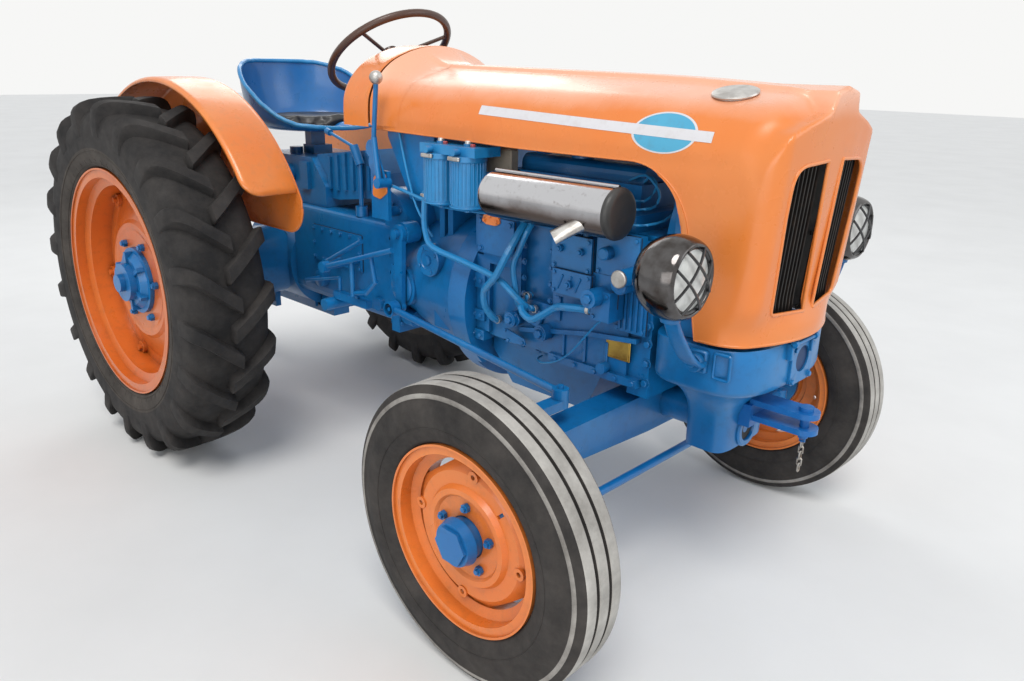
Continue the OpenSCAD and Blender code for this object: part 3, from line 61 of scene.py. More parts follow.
cam_data = bpy.data.cameras.new("camera")
cam = bpy.data.objects.new("camera", cam_data)
scene.collection.objects.link(cam)
cam.location = (2.092, -1.761, 1.328)
yaw, pitch, roll = math.radians(133.58), math.radians(-18.63), math.radians(1.26)
look = Vector((math.cos(yaw) * math.cos(pitch), math.sin(yaw) * math.cos(pitch), math.sin(pitch)))
turn = look.to_track_quat("-Z", "Y")
cam.rotation_mode = "QUATERNION"
cam.rotation_quaternion = turn @ Euler((0, 0, roll)).to_quaternion()
cam_data.sensor_width = SENSOR
cam_data.lens = FOCAL_PIXELS / PHOTO_WIDTH * SENSOR
cam_data.clip_start = 0.05
scene.camera = cam


def area_light(name, place, target, size, power, colour=(1, 1, 1)):
    data = bpy.data.lights.new(name, "AREA")
    data.shape = "RECTANGLE"
    data.size, data.size_y = size
    data.energy = power
    data.color = colour
    lamp = bpy.data.objects.new(name, data)
    lamp.location = place
    lamp.rotation_euler = (Vector(target) - Vector(place)).to_track_quat("-Z", "Y").to_euler()
    scene.collection.objects.link(lamp)


sun_data = bpy.data.lights.new("key", "SUN")
sun_data.energy, sun_data.angle, sun_data.color = 1.75, 0.5, (1.0, 0.975, 0.94)
sun = bpy.data.objects.new("key", sun_data)
sun.rotation_euler = Vector((-0.62, 0.75, -1.55)).to_track_quat("-Z", "Y").to_euler()
scene.collection.objects.link(sun)
area_light("fill", (5.2, 2.6, 3.0), (0.4, 0, 0.6), (3.5, 3.0), 45, (0.93, 0.96, 1.0))
area_light("back", (-4.0, 2.6, 4.0), (0, 0, 0.8), (3.0, 3.0), 60)
area_light("side", (2.2, -3.6, 1.5), (0.3, 0, 0.6), (3.0, 1.6), 34, (1.0, 0.98, 0.96))

world = bpy.data.worlds.new("world")
scene.world = world
world.use_nodes = True
tree = world.node_tree
tree.nodes.clear()
out, mix, light, seen, path, either = (tree.nodes.new("ShaderNode" + kind) for kind in (
    "OutputWorld", "MixShader", "Background", "Background", "LightPath", "Math"))
light.inputs["Color"].default_value = (0.86, 0.92, 1.0, 1)
light.inputs["Strength"].default_value = 0.5
seen.inputs["Color"].default_value = (0.93, 0.93, 0.92, 1)
seen.inputs["Strength"].default_value = 1.0
either.operation = "MAXIMUM"
for a, b in ((path.outputs["Is Camera Ray"], either.inputs[0]), (path.outputs["Is Glossy Ray"], either.inputs[1]),
             (either.outputs[0], mix.inputs[0]), (light.outputs[0], mix.inputs[1]),
             (seen.outputs[0], mix.inputs[2]), (mix.outputs[0], out.inputs[0])):
    tree.links.new(a, b)

bpy.ops.mesh.primitive_plane_add(size=60, location=(0, 0, -0.0015))
floor = bpy.context.object
floor.name = "floor"


# ---------------------------------------------------------------- materials
class Nodes:
    """A small helper round one material's node tree."""

    def __init__(self, name, **sockets):
        self.mat = bpy.data.materials.new(name)
        self.mat.use_nodes = True
        self.tree = self.mat.node_tree
        self.bsdf = self.tree.nodes["Principled BSDF"]
        self.coord = self.tree.nodes.new("ShaderNodeTexCoord").outputs["Object"]
        for key, value in sockets.items():
            self.bsdf.inputs[key.replace("_", " ")].default_value = value

    def link(self, a, b):
        self.tree.links.new(a, b)

    def noise(self, scale, detail=4, rough=0.55):
        n = self.tree.nodes.new("ShaderNodeTexNoise")
        n.inputs["Scale"].default_value = scale
        n.inputs["Detail"].default_value = detail
        n.inputs["Roughness"].default_value = rough
        self.link(self.coord, n.inputs["Vector"])
        return n.outputs["Fac"]

    def ramp(self, fac, *stops):
        n = self.tree.nodes.new("ShaderNodeValToRGB")
        while len(n.color_ramp.elements) < len(stops):
            n.color_ramp.elements.new(0.5)
        for e, (pos, col) in zip(n.color_ramp.elements, stops):
            e.position = pos
            e.color = (*col, 1) if isinstance(col, tuple) else (col, col, col, 1)
        self.link(fac, n.inputs["Fac"])
        return n.outputs["Color"]

    def feed(self, node, *inputs):
        """Gives a node its inputs: sockets are linked, values and colours are set."""
        for i, v in inputs:
            if isinstance(v, (tuple, int, float)):
                node.inputs[i].default_value = (*v, 1) if isinstance(v, tuple) else v
            else:
                self.link(v, node.inputs[i])

    def mix(self, fac, a, b):
        n = self.tree.nodes.new("ShaderNodeMix")
        n.data_type = "RGBA"
        self.feed(n, (0, fac), (6, a), (7, b))
        return n.outputs[2]

    def blend(self, noise, start, end, a, b):
        """One colour into another by a noise; start and end are stops of its ramp."""
        return self.mix(self.ramp(self.noise(*noise), start, end), a, b)

    def math(self, op, a, b=0.0):
        n = self.tree.nodes.new("ShaderNodeMath")
        n.operation = op
        self.feed(n, (0, a), (1, b))
        return n.outputs[0]

    def z(self):
        n = self.tree.nodes.new("ShaderNodeSeparateXYZ")
        self.link(self.coord, n.inputs[0])
        return n.outputs[2]

    def height(self, base, scale, waver):
        """Height above a base in metres, wavering a little; a ramp takes only values from 0 to 1."""
        return self.math("ADD", self.math("SUBTRACT", self.z(), base),
                         self.math("MULTIPLY", self.noise(scale, 5, 0.6), waver))

    def bump(self, scale, detail, strength, distance):
        height = self.noise(scale, detail)
        n = self.tree.nodes.new("ShaderNodeBump")
        n.inputs["Strength"].default_value = strength
        n.inputs["Distance"].default_value = distance
        self.link(height, n.inputs["Height"])
        self.link(n.outputs[0], self.bsdf.inputs["Normal"])

    def colour(self, col):
        self.link(col, self.bsdf.inputs["Base Color"])

    def rough(self, scale, detail, low, high):
        self.link(self.ramp(self.noise(scale, detail), (0.3, low), (0.75, high)), self.bsdf.inputs["Roughness"])


def enamel(name, base, faded, dirt, gloss=0.3, coat=0.35, painted_shade_strength=0.55):
    m = Nodes(name, Coat_Weight=coat, Coat_Roughness=0.12)
    wide = m.ramp(m.noise(3.2, 3), (0.35, 0.0), (0.7, 1.0))
    fine = m.ramp(m.noise(38, 6, 0.65), (0.5, 0.0), (0.72, 1.0))
    col = m.mix(wide, base, faded)
    col = m.mix(m.math("MULTIPLY", fine, 0.3), col, dirt)
    # Painted shade: the colour darkens in corners and recesses, found by ambient occlusion and broken up by noise
    hollow = m.tree.nodes.new("ShaderNodeAmbientOcclusion")
    hollow.samples = 6
    hollow.inputs["Distance"].default_value = 0.05
    deep = m.ramp(hollow.outputs["AO"], (0.25, 1.0), (0.85, 0.0))
    deep = m.math("MULTIPLY", deep, m.ramp(m.noise(26, 4), (0.25, 0.5), (0.65, 1.0)))
    # Painted shade mixed in: a dark copy of the base colour, as strong as the last argument says
    col = m.mix(m.math("MULTIPLY", deep, painted_shade_strength), col, tuple(0.16 * v for v in base))
    m.colour(col)
    m.rough(12, 5, gloss - 0.06, gloss + 0.14)
    m.bump(140, 3, 0.06, 0.002)
    return m.mat


def metal(name, base, dark, gloss=0.35, metallic=1.0):
    m = Nodes(name, Metallic=metallic)
    m.colour(m.blend((24, 6, 0.6), (0.4, 0.0), (0.72, 1.0), base, dark))
    m.rough(30, 4, gloss - 0.08, gloss + 0.15)
    m.bump(220, 3, 0.08, 0.001)
    return m.mat


def rubber(name, base, dust):
    m = Nodes(name)
    m.bsdf.inputs["Specular IOR Level"].default_value = 0.3
    m.colour(m.blend((9, 6, 0.7), (0.35, 0.1), (0.7, 0.9), base, dust))
    m.rough(30, 4, 0.7, 0.92)
    m.bump(260, 4, 0.15, 0.002)
    return m.mat


orange = enamel("orange_enamel", (0.80, 0.205, 0.030), (0.82, 0.27, 0.065), (0.50, 0.20, 0.08), 0.28)
blue = enamel("blue_enamel", (0.003, 0.135, 0.39), (0.006, 0.20, 0.50), (0.012, 0.06, 0.15), 0.33, 0.14, 0.8)
steel = metal("bright_steel", (0.74, 0.72, 0.69), (0.42, 0.38, 0.34), 0.3)
chrome = metal("lamp_chrome", (0.13, 0.125, 0.125), (0.05, 0.042, 0.038), 0.12)
black = enamel("black_paint", (0.012, 0.012, 0.013), (0.03, 0.03, 0.03), (0.07, 0.06, 0.05), 0.45, 0.1)
rear_rubber = rubber("rear_rubber", (0.012, 0.012, 0.013), (0.050, 0.045, 0.042))
front_rubber = rubber("front_rubber", (0.017, 0.016, 0.016), (0.060, 0.053, 0.048))
vinyl = enamel("black_vinyl", (0.015, 0.015, 0.016), (0.035, 0.035, 0.036), (0.08, 0.08, 0.08), 0.4, 0.0)
brown_rim = enamel("wheel_rim_brown", (0.05, 0.022, 0.014), (0.09, 0.04, 0.025), (0.02, 0.015, 0.01), 0.35, 0.2)

m = Nodes("floor_grey", Roughness=0.85)
m.colour(m.blend((1.6, 6, 0.6), (0.35, 0.0), (0.7, 1.0), (0.80, 0.80, 0.79), (0.76, 0.76, 0.75)))
floor.data.materials.append(m.mat)

# The towing hitch is painted, the chain that hangs from it is bare steel
m = Nodes("hitch_and_chain")
CHAIN_TOP = 0.494  # below this height the node is chain, in metres
bare = m.math("LESS_THAN", m.z(), CHAIN_TOP)
paint = m.blend((38, 6, 0.65), (0.5, 0.0), (0.75, 1.0), (0.006, 0.125, 0.40), (0.012, 0.175, 0.48))
iron = m.blend((60, 5), (0.4, 0.0), (0.7, 1.0), (0.45, 0.43, 0.40), (0.22, 0.17, 0.13))
m.colour(m.mix(bare, paint, iron))
m.link(bare, m.bsdf.inputs["Metallic"])
m.rough(30, 4, 0.28, 0.48)
m.bump(180, 3, 0.08, 0.001)
hitch_mat = m.mat

rear_band = rubber("rear_sidewall_brown", (0.030, 0.026, 0.023), (0.085, 0.073, 0.063))
tread_dust = rubber("tread_dusty", (0.26, 0.245, 0.225), (0.56, 0.54, 0.50))
ridge_dust = rubber("shoulder_dusty", (0.12, 0.11, 0.10), (0.40, 0.38, 0.35))
white_paint = enamel("white_stripe", (0.74, 0.73, 0.75), (0.68, 0.67, 0.69), (0.50, 0.42, 0.38), 0.35, 0.2)
oval_blue = enamel("oval_blue", (0.06, 0.34, 0.56), (0.09, 0.42, 0.62), (0.10, 0.20, 0.28), 0.35, 0.2)
seat_blue = enamel("seat_blue", (0.008, 0.135, 0.42), (0.012, 0.18, 0.50), (0.04, 0.12, 0.25), 0.3)
light_blue = enamel("light_blue_enamel", (0.012, 0.22, 0.52), (0.03, 0.29, 0.60), (0.03, 0.11, 0.22), 0.32, 0.2)
rim_orange = enamel("rim_orange", (0.62, 0.125, 0.014), (0.68, 0.17, 0.028), (0.26, 0.09, 0.03), 0.32, 0.25, 0.7)
disc_orange = enamel("disc_orange", (0.74, 0.18, 0.026), (0.78, 0.23, 0.045), (0.34, 0.12, 0.04), 0.32, 0.25, 0.7)
# Orange painted paler towards the top: mostly a painted reflection of the sky, partly sun bleaching
m = Nodes("orange_painted_top_sheen", Coat_Weight=0.3, Coat_Roughness=0.22)
body = m.blend((3.2, 3), (0.35, 0.0), (0.7, 1.0), (0.80, 0.205, 0.030), (0.80, 0.245, 0.055))
# Painted reflection: paler above about 1.25 m, its lower edge wavering
painted_sky_sheen = m.mix(m.ramp(m.height(1.0, 7, 0.05), (0.255, 0.0), (0.305, 1.0)), body, (0.93, 0.46, 0.29))
scuff = m.ramp(m.noise(21, 8, 0.72), (0.6, 0.0), (0.72, 1.0))
scuff = m.math("MULTIPLY", scuff, m.ramp(m.noise(2.4, 3), (0.45, 0.0), (0.62, 0.55)))
m.colour(m.mix(scuff, painted_sky_sheen, (0.42, 0.15, 0.055)))
m.rough(12, 5, 0.2, 0.4)
m.bump(9, 4, 0.05, 0.004)
hood_orange = m.mat
# Dark blue as painted shade at the back of the front plate's round hole
painted_shade_blue = enamel("painted_shade_blue", (0.002, 0.03, 0.11), (0.003, 0.04, 0.14), (0.01, 0.02, 0.05), 0.5, 0.0)
gasket = rubber("gasket_black", (0.012, 0.014, 0.02), (0.03, 0.04, 0.06))
brass = metal("brass_plate", (0.62, 0.42, 0.10), (0.35, 0.20, 0.05), 0.38)
red_cap = enamel("red_cap", (0.45, 0.05, 0.06), (0.5, 0.1, 0.1), (0.1, 0.03, 0.03), 0.4)
beige = enamel("beige_card", (0.30, 0.26, 0.20), (0.36, 0.32, 0.26), (0.12, 0.10, 0.08), 0.7, 0.0)
# Painted highlight: bright along its top, dark below
m = Nodes("exhaust_steel", Metallic=1.0)
# Painted highlight by height: pale steel above, the dark body below
painted_top_highlight = m.mix(m.ramp(m.height(0.8, 9, 0.03), (0.212, 0.0), (0.25, 1.0)), (0.11, 0.085, 0.075), (0.60, 0.60, 0.62))
m.colour(m.blend((55, 6, 0.7), (0.55, 0.0), (0.75, 0.5), painted_top_highlight, (0.14, 0.10, 0.08)))
m.rough(14, 5, 0.10, 0.22)
m.bump(6, 3, 0.12, 0.006)
exhaust = m.mat
grille_black = enamel("grille_black", (0.010, 0.010, 0.011), (0.03, 0.024, 0.02), (0.10, 0.06, 0.04), 0.35, 0.2)
lamp_black = enamel("lamp_guard_black", (0.010, 0.010, 0.012), (0.02, 0.02, 0.024), (0.05, 0.04, 0.035), 0.28, 0.3)
# Soot inside the tail pipe; the same black stands as painted shade behind the grille and inside the axle pin's
# collar
soot_and_painted_shade = metal("soot_and_painted_shade", (0.03, 0.03, 0.03), (0.05, 0.045, 0.04), 0.8, 0.2)
m = Nodes("lamp_lens", Roughness=0.16, Metallic=0.0)
m.bsdf.inputs["Specular IOR Level"].default_value = 0.6
m.colour(m.blend((40, 3), (0.35, 0.0), (0.7, 1.0), (0.62, 0.63, 0.60), (0.80, 0.80, 0.77)))
lens = m.mat
dull_alloy = metal("dull_alloy", (0.62, 0.61, 0.59), (0.36, 0.34, 0.32), 0.42)

SLOT_MAT = {"orange_paint": orange, "blue_paint": blue, "bright_steel": steel, "black_paint": black,
            "lamp_shell": chrome, "tyre_rubber": rear_rubber, "black_vinyl": vinyl, "wheel_rim": brown_rim}
NODE_MAT = {"front_tyre": front_rubber, "hoses": light_blue, "fuel_filters": light_blue, "rear_rim": rim_orange,
            "front_rim": disc_orange, "front_hitch": hitch_mat}
for part in frame["record"]["subparts"]:
    obj = frame["nodes"].get(part["node"])
    if obj is None:
        continue
    mat = SLOT_MAT[part["material_slot"]]
    for start, own in NODE_MAT.items():
        if part["node"].startswith(start):
            mat = own
    obj.data.materials.clear()
    obj.data.materials.append(mat)


# ---------------------------------------------------------------- mesh tools
def angles(n, shift=0.0):
    """n angles round a circle, the first one moved on by a share of a step."""
    return [2 * math.pi * (k + shift) / n for k in range(n)]


def circle(r, n, shift=0.0, u=0.0, v=0.0):
    """n points round a circle in a plane."""
    return [(u + r * math.cos(t), v + r * math.sin(t)) for t in angles(n, shift)]


def turned(place, degrees, axis):
    """A frame at a place, turned about one axis."""
    return Matrix.Translation(place) @ Matrix.Rotation(math.radians(degrees), 4, axis)


def facing_forward(place):
    """A frame at a place whose z axis points forward."""
    return Matrix.Translation(place) @ Matrix(((0, 0, 1), (0, 1, 0), (-1, 0, 0))).to_4x4()


def side_plane(y):
    """A frame whose xy plane stands upright at y, so that outlines in it are (x, z)."""
    return Matrix(((1, 0, 0, 0), (0, 0, -1, y), (0, 1, 0, 0), (0, 0, 0, 1)))


def spread(xs, y, zs):
    """Places at each x and z in the plane at y."""
    return [(x, y, z) for x in xs for z in zs]


def smooth(me, sharp=None):
    """Smooth faces, with edges where they meet at more than sharp degrees."""
    me.polygons.foreach_set("use_smooth", [True] * len(me.polygons))
    if sharp is not None:
        me.set_sharp_from_angle(angle=math.radians(sharp))


class Build:
    """Collects the faces of one piece, in millimetres from the rear axle."""

    def __init__(self):
        self.verts, self.faces, self.mats = [], [], []

    def add(self, verts, faces, mat=0):
        off = len(self.verts)
        self.verts += [tuple(v) for v in verts]
        self.faces += [tuple(i + off for i in f) for f in faces]
        self.mats += [mat] * len(faces)

    def grid(self, rows, wrap_rows=False, wrap_cols=False, mat=0):
        """rows: equally long rows of points."""
        n, m = len(rows), len(rows[0])
        faces = []
        for i in range(n if wrap_rows else n - 1):
            for j in range(m if wrap_cols else m - 1):
                k, l = (i + 1) % n, (j + 1) % m
                faces.append((i * m + j, k * m + j, k * m + l, i * m + l))
        self.add([p for r in rows for p in r], faces, mat)

    def tube(self, path, r, n=10, mat=0, closed=False, caps=True):
        """A round bar along a path; r is one radius or one for each point."""
        p = [Vector(q) for q in path]
        m = len(p)
        radii = r if isinstance(r, (list, tuple)) else [r] * m
        up, rows = None, []
        for i in range(m):
            a, b = (p[(i - 1) % m], p[(i + 1) % m]) if closed else (p[max(i - 1, 0)], p[min(i + 1, m - 1)])
            d = (b - a).normalized()
            if up is None:
                up = d.orthogonal().normalized()
            up = (up - d * up.dot(d)).normalized()
            side = d.cross(up)
            rows.append([p[i] + radii[i] * (math.cos(t) * up + math.sin(t) * side)
                         for t in angles(n)])
        self.grid(rows, wrap_rows=closed, wrap_cols=True, mat=mat)
        if caps and not closed:
            base = len(self.verts) - m * n
            self.faces.append(tuple(base + k for k in range(n)))
            self.faces.append(tuple(base + (m - 1) * n + n - 1 - k for k in range(n)))
            self.mats += [mat, mat]

    def lathe(self, profile, frame_m, n=64, mat=0, mats=None):
        """A turned form: profile lists (radius, height) along the frame's z axis."""
        rows = [[frame_m @ Vector((*p, h)) for p in circle(r, n)] for r, h in profile]
        if mats is None:
            self.grid(rows, wrap_cols=True, mat=mat)
        else:
            for i in range(len(rows) - 1):
                self.grid(rows[i:i + 2], wrap_cols=True, mat=mats[i])

    def prism(self, outline, frame_m, h, bevel=0.0, mat=0):
        """A plate whose outline is drawn in the frame's xy plane, with a bevelled upper edge."""
        n = len(outline)
        rows = [[(p[0], p[1], 0) for p in outline]]
        if bevel:
            rows.append([(p[0], p[1], h - bevel) for p in outline])
            inner = []
            for i, p in enumerate(outline):
                a, b = Vector(outline[i - 1]), Vector(outline[(i + 1) % n])
                t = (b - a).normalized()
                inner.append((p[0] - t.y * bevel, p[1] + t.x * bevel, h))
            rows.append(inner)
        else:
            rows.append([(p[0], p[1], h) for p in outline])
        self.grid([[frame_m @ Vector(q) for q in r] for r in rows], wrap_cols=True, mat=mat)
        base = len(self.verts) - n
        self.faces.append(tuple(base + k for k in range(n)))
        self.mats.append(mat)

    def box(self, x0, x1, y0, y1, z0, z1, mat=0, bevel=1.5):
        """A block with its edges taken off."""
        y0, y1 = min(y0, y1), max(y0, y1)
        bm = bmesh.new()
        bmesh.ops.create_cube(bm, size=1)
        for v in bm.verts:
            v.co = Vector((x0 if v.co.x < 0 else x1, y0 if v.co.y < 0 else y1, z0 if v.co.z < 0 else z1))
        if bevel:
            bmesh.ops.bevel(bm, geom=bm.edges[:], offset=bevel, segments=1, affect="EDGES")
        self.add([v.co for v in bm.verts], [[v.index for v in f.verts] for f in bm.faces], mat)
        bm.free()

    def border(self, x0, x1, z0, z1, y, r=1.5, corner=5, steps=3, n=6):
        """A thin bar round a rectangle in the plane at y."""
        pts = rounded([(x0, z0), (x1, z0), (x1, z1), (x0, z1)], corner, steps)
        self.tube([(x, y, z) for x, z in pts], r, n, closed=True)

    def hexes(self, places, axis, r, h, mat=0, washer=0.0):
        """Bolt heads at the places, standing out along the axis."""
        axis = Vector(axis).normalized()
        for k, p in enumerate(places):
            m = Matrix.Translation(p) @ axis.to_track_quat("Z", "Y").to_matrix().to_4x4()
            turn = (k * 37) % 60
            six = [(r * math.cos(math.radians(60 * i + turn)), r * math.sin(math.radians(60 * i + turn)))
                   for i in range(6)]
            if washer:
                self.prism(circle(1.45 * r, 16), m, washer, 0.25 * washer, mat)
            self.prism(six, m @ Matrix.Translation((0, 0, washer)), h, 0.15 * r, mat)

    def make(self, name, mats, body="chassis", sharp=35, place=None, fix=False):
        """place: the wheel's own frame; the points are then measured in it."""
        me = bpy.data.meshes.new(name)
        shift = MID_X if place is None else 0
        me.from_pydata([(x / 1000 - shift, y / 1000, z / 1000) for x, y, z in self.verts], [], self.faces)
        for m in mats if isinstance(mats, (list, tuple)) else [mats]:
            me.materials.append(m)
        me.polygons.foreach_set("material_index", self.mats)
        if fix:
            bm = bmesh.new()
            bm.from_mesh(me)
            bmesh.ops.remove_doubles(bm, verts=bm.verts, dist=1e-6)
            bmesh.ops.recalc_face_normals(bm, faces=bm.faces)
            bm.to_mesh(me)
            bm.free()
        smooth(me, sharp)
        me.update()
        obj = bpy.data.objects.new(name, me)
        scene.collection.objects.link(obj)
        if place is not None:
            obj.matrix_world = place
        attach(obj, body)
        return obj


def bake(obj):
    """Turns an object's modifiers into its mesh."""
    graph = bpy.context.evaluated_depsgraph_get()
    me = bpy.data.meshes.new_from_object(obj.evaluated_get(graph), depsgraph=graph)
    old, obj.data = obj.data, me
    obj.modifiers.clear()
    bpy.data.meshes.remove(old)
    return obj


def thicken(obj, thickness, offset=-1):
    """Makes a sheet solid, inward unless the offset says otherwise."""
    sheet = obj.modifiers.new("sheet", "SOLIDIFY")
    sheet.thickness, sheet.offset = thickness, offset


def smoothstep(a, b, x):
    t = np.clip((x - a) / (b - a), 0, 1)
    return t * t * (3 - 2 * t)


def rounded(points, radius, steps=6):
    """A closed outline with rounded corners; radius is one number or one for each point."""
    n, out = len(points), []
    for i in range(n):
        p = Vector(points[i])
        a, b = Vector(points[i - 1]) - p, Vector(points[(i + 1) % n]) - p
        r = radius[i] if isinstance(radius, (list, tuple)) else radius
        if r <= 0:
            out.append(p)
            continue
        half = a.angle(b) / 2
        cut = min(r / math.tan(half), 0.48 * a.length, 0.48 * b.length)
        p0, p1 = p + a.normalized() * cut, p + b.normalized() * cut
        for k in range(steps + 1):
            t = k / steps
            out.append(p0 * (1 - t) ** 2 + p * 2 * t * (1 - t) + p1 * t * t)
    return out


def curve(points, steps=8):
    """A smooth curve through points."""
    p = [Vector(q) for q in points]
    n, out = len(p), []
    for i in range(n - 1):
        a, b, c, d = p[max(i - 1, 0)], p[i], p[i + 1], p[min(i + 2, n - 1)]
        for k in range(steps):
            t = k / steps
            out.append(0.5 * (2 * b + (c - a) * t + (2 * a - 5 * b + 4 * c - d) * t * t
                              + (3 * b - a - 3 * c + d) * t ** 3))
    out.append(p[-1])
    return out


def wheel_frame(side, front):
    """The frame of a wheel, in metres: its z axis points outward."""
    c = math.radians(2 if front else 0)
    o = at(FRONT_AXLE[0], side * 667, FRONT_AXLE[1]) if front else at(0, side * 630, REAR_R)
    m = Matrix(((1, 0, 0), (0, -math.sin(c), side * math.cos(c)), (0, -side * math.cos(c), -math.sin(c))))
    return Matrix.Translation(o) @ m.to_4x4()


def mirrored(half):
    """A tyre's whole profile from one half of it, (radius, distance from the middle)."""
    return [(r, -z) for r, z in half] + [(r, z) for r, z in reversed(half)][1:]


FLAT = Matrix.Identity(4)

# ---------------------------------------------------------------- rear tyres
LUGS = 20
SECTION = [(382, 113), (388, 122), (398, 128), (416, 134), (445, 138.5), (480, 139.3), (512, 136),
           (536, 127), (553, 111), (563, 88), (568, 60), (570, 30), (570.5, 0)]
# A lug's stations: (z top, r top, z root, r root, leading edge, trailing edge)
LUG = [(-17, 589, -17, 566, 22, -20), (-13, 600.5, -13, 563, 26, -25), (10, 601.5, 10, 562, 8, -42),
       (40, 601, 40, 560, -17, -66), (70, 600, 70, 556, -43, -92), (96, 597.5, 94, 548, -65, -114),
       (114, 592, 107, 540, -78, -128), (128, 583, 118, 530, -85, -136), (137, 569, 127, 518, -89, -141),
       (141.2, 551, 132, 508, -91, -144), (142.3, 528, 136, 500, -92, -145), (142.3, 505, 138, 492, -92, -145),
       (141.5, 488, 138, 482, -91, -144), (138.8, 481, 136, 478, -90, -143)]


def lug_rows():
    rows = []
    for zt, rt, zr, rr, lead, trail in LUG:
        row = []
        mid, half = (lead + trail) / 2, (lead - trail) / 2
        # Root, flank, rounded edge, top, rounded edge, flank, root
        for f, wide in ((0, 1.28), (0.45, 1.1), (0.86, 1.0), (1.0, 0.86), (1.012, 0.0), (1.0, -0.86),
                        (0.86, -1.0), (0.45, -1.1), (0, -1.28)):
            t = mid + wide * half
            z, r = zr + (zt - zr) * f, min(rr + (rt - rr) * f, 602.2)
            row.append((r, t / REAR_R, z))
        rows.append(row)
    return rows


def rear_tyre(name, side):
    b = Build()
    profile = mirrored(curve(SECTION, 3))
    # The band by the bead is brownish
    mats = [1 if min(a[0], c[0]) < 440 else 0 for a, c in zip(profile, profile[1:])]
    b.lathe(profile, FLAT, 168, mats=mats)
    rows = lug_rows()
    phase = -26 / REAR_R
    for i in range(LUGS):
        for flip in (1, -1):
            turn = (i + (0 if flip > 0 else 0.5)) * 2 * math.pi / LUGS + phase
            pts = [[(r * math.cos(a + turn), side * r * math.sin(a + turn), flip * z)
                    for r, a, z in row] for row in rows]
            b.grid(pts)
            for end in (pts[0], pts[-1]):
                b.add(end, [tuple(range(len(end)))])
    # Short moulded ribs by the bead, and the two thin rings that they stand between
    for z in (-1, 1):
        for r, out in ((396, 127.6), (436, 138.0)):
            b.tube([(*p, z * out) for p in circle(r, 168)], 1.3, 6, 1, closed=True)
        for c, s in circle(1, 56, 0.3):
            b.tube([(398 * c, 398 * s, z * 128), (411 * c, 411 * s, z * 132.6)], 1.5, 5, 1)
    obj = b.make("rear_tyre_" + name + "_rubber", [rear_rubber, rear_band], "rear_wheel_" + name, 40,
                 wheel_frame(side, False), fix=True)
    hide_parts("rear_tyre_" + name)


# ---------------------------------------------------------------- front tyres
FRONT_SECTION = [(221, 49), (226, 58), (236, 64), (254, 71.5), (276, 74.6), (296, 72.5), (313, 66.5), (321, 64.5),
                 (328, 66.2), (333, 65), (336, 61), (341, 58.5), (347, 56), (351, 51.5), (352.3, 46), (352.7, 36),
                 (352.7, 25.2), (351, 23.4), (345.5, 22.2), (344.6, 19), (345.5, 15.8), (351, 14.6),
                 (352.7, 12.8), (352.8, 6), (352.8, 0)]


def front_tyre(name, side):
    b = Build()
    half = []
    for i, p in enumerate(FRONT_SECTION):
        half.append(p)
        if i < 10:
            q = FRONT_SECTION[i + 1]
            half.append(((p[0] + q[0]) / 2, (p[1] + q[1]) / 2 + 0.35))
    profile = mirrored(half)
    # The tread and the shoulder's ridges are dusty
    mats = []
    for a, c in zip(profile, profile[1:]):
        r, z = (a[0] + c[0]) / 2, abs(a[1] + c[1]) / 2
        if r > 351.5:
            mats.append(1)
        elif r > 326 and z > 64:
            mats.append(2)
        else:
            mats.append(0)
    b.lathe(profile, FLAT, 144, mats=mats)
    for z in (-1, 1):
        b.tube([(*p, z * 73.4) for p in circle(262, 144)], 1.0, 6, 0, closed=True)
    obj = b.make("front_tyre_" + name + "_rubber", [front_rubber, tread_dust, ridge_dust],
                 "front_wheel_" + name, 40, wheel_frame(side, True), fix=True)
    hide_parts("front_tyre_" + name)


for name, side in SIDES.items():
    rear_tyre(name, side)
    front_tyre(name, side)


# ---------------------------------------------------------------- hood
HOOD_REAR, HOOD_FRONT, HOOD_LOW = 785, 1912, 754  # the ends of its sides, and the nose's lower edge
CORE_Z = 1186  # the rays that find the hood's surface start at this height, or below it
NOSE_X, NOSE_HALF = 1922, 226  # where the rays of the nose start, and its half width
N_SIDE, N_TOP, N_FRONT = 34, 50, 84  # steps up the side, over the shoulder and round the nose


def half_width(x):
    return np.interp(x, [695, 1600, 1850, 1900, 1967, 2100], [257, 250, 236, 230, 226, 224])


def front_x(y, z):
    """The nose's face: almost flat round the grille, with a bowed lip below."""
    w = 1 - smoothstep(770, 848, z)
    return (2034 + (z - HOOD_LOW) * 0.0755 - y ** 2 / 3400) * (1 - w) + (2061 - y ** 2 / 690) * w


def round_max(a, b, r):
    """The larger of two fields, their edge rounded by r."""
    return np.minimum(-r, np.maximum(a, b)) + np.hypot(np.maximum(a + r, 0), np.maximum(b + r, 0))


def soft_min(a, b, k):
    """The smaller of two fields, blended over k."""
    h = np.clip(0.5 + 0.5 * (b - a) / k, 0, 1)
    return b * (1 - h) + a * h - k * h * (1 - h)


# Height of the brow over the grille, by the distance from the middle
BROW_Y = [0, 50, 57, 64, 74, 105, 150, 191, 208, 220, 232]
BROW_Z = [1300, 1290, 1270, 1256, 1248, 1238, 1225, 1210, 1198, 1182, 1150]


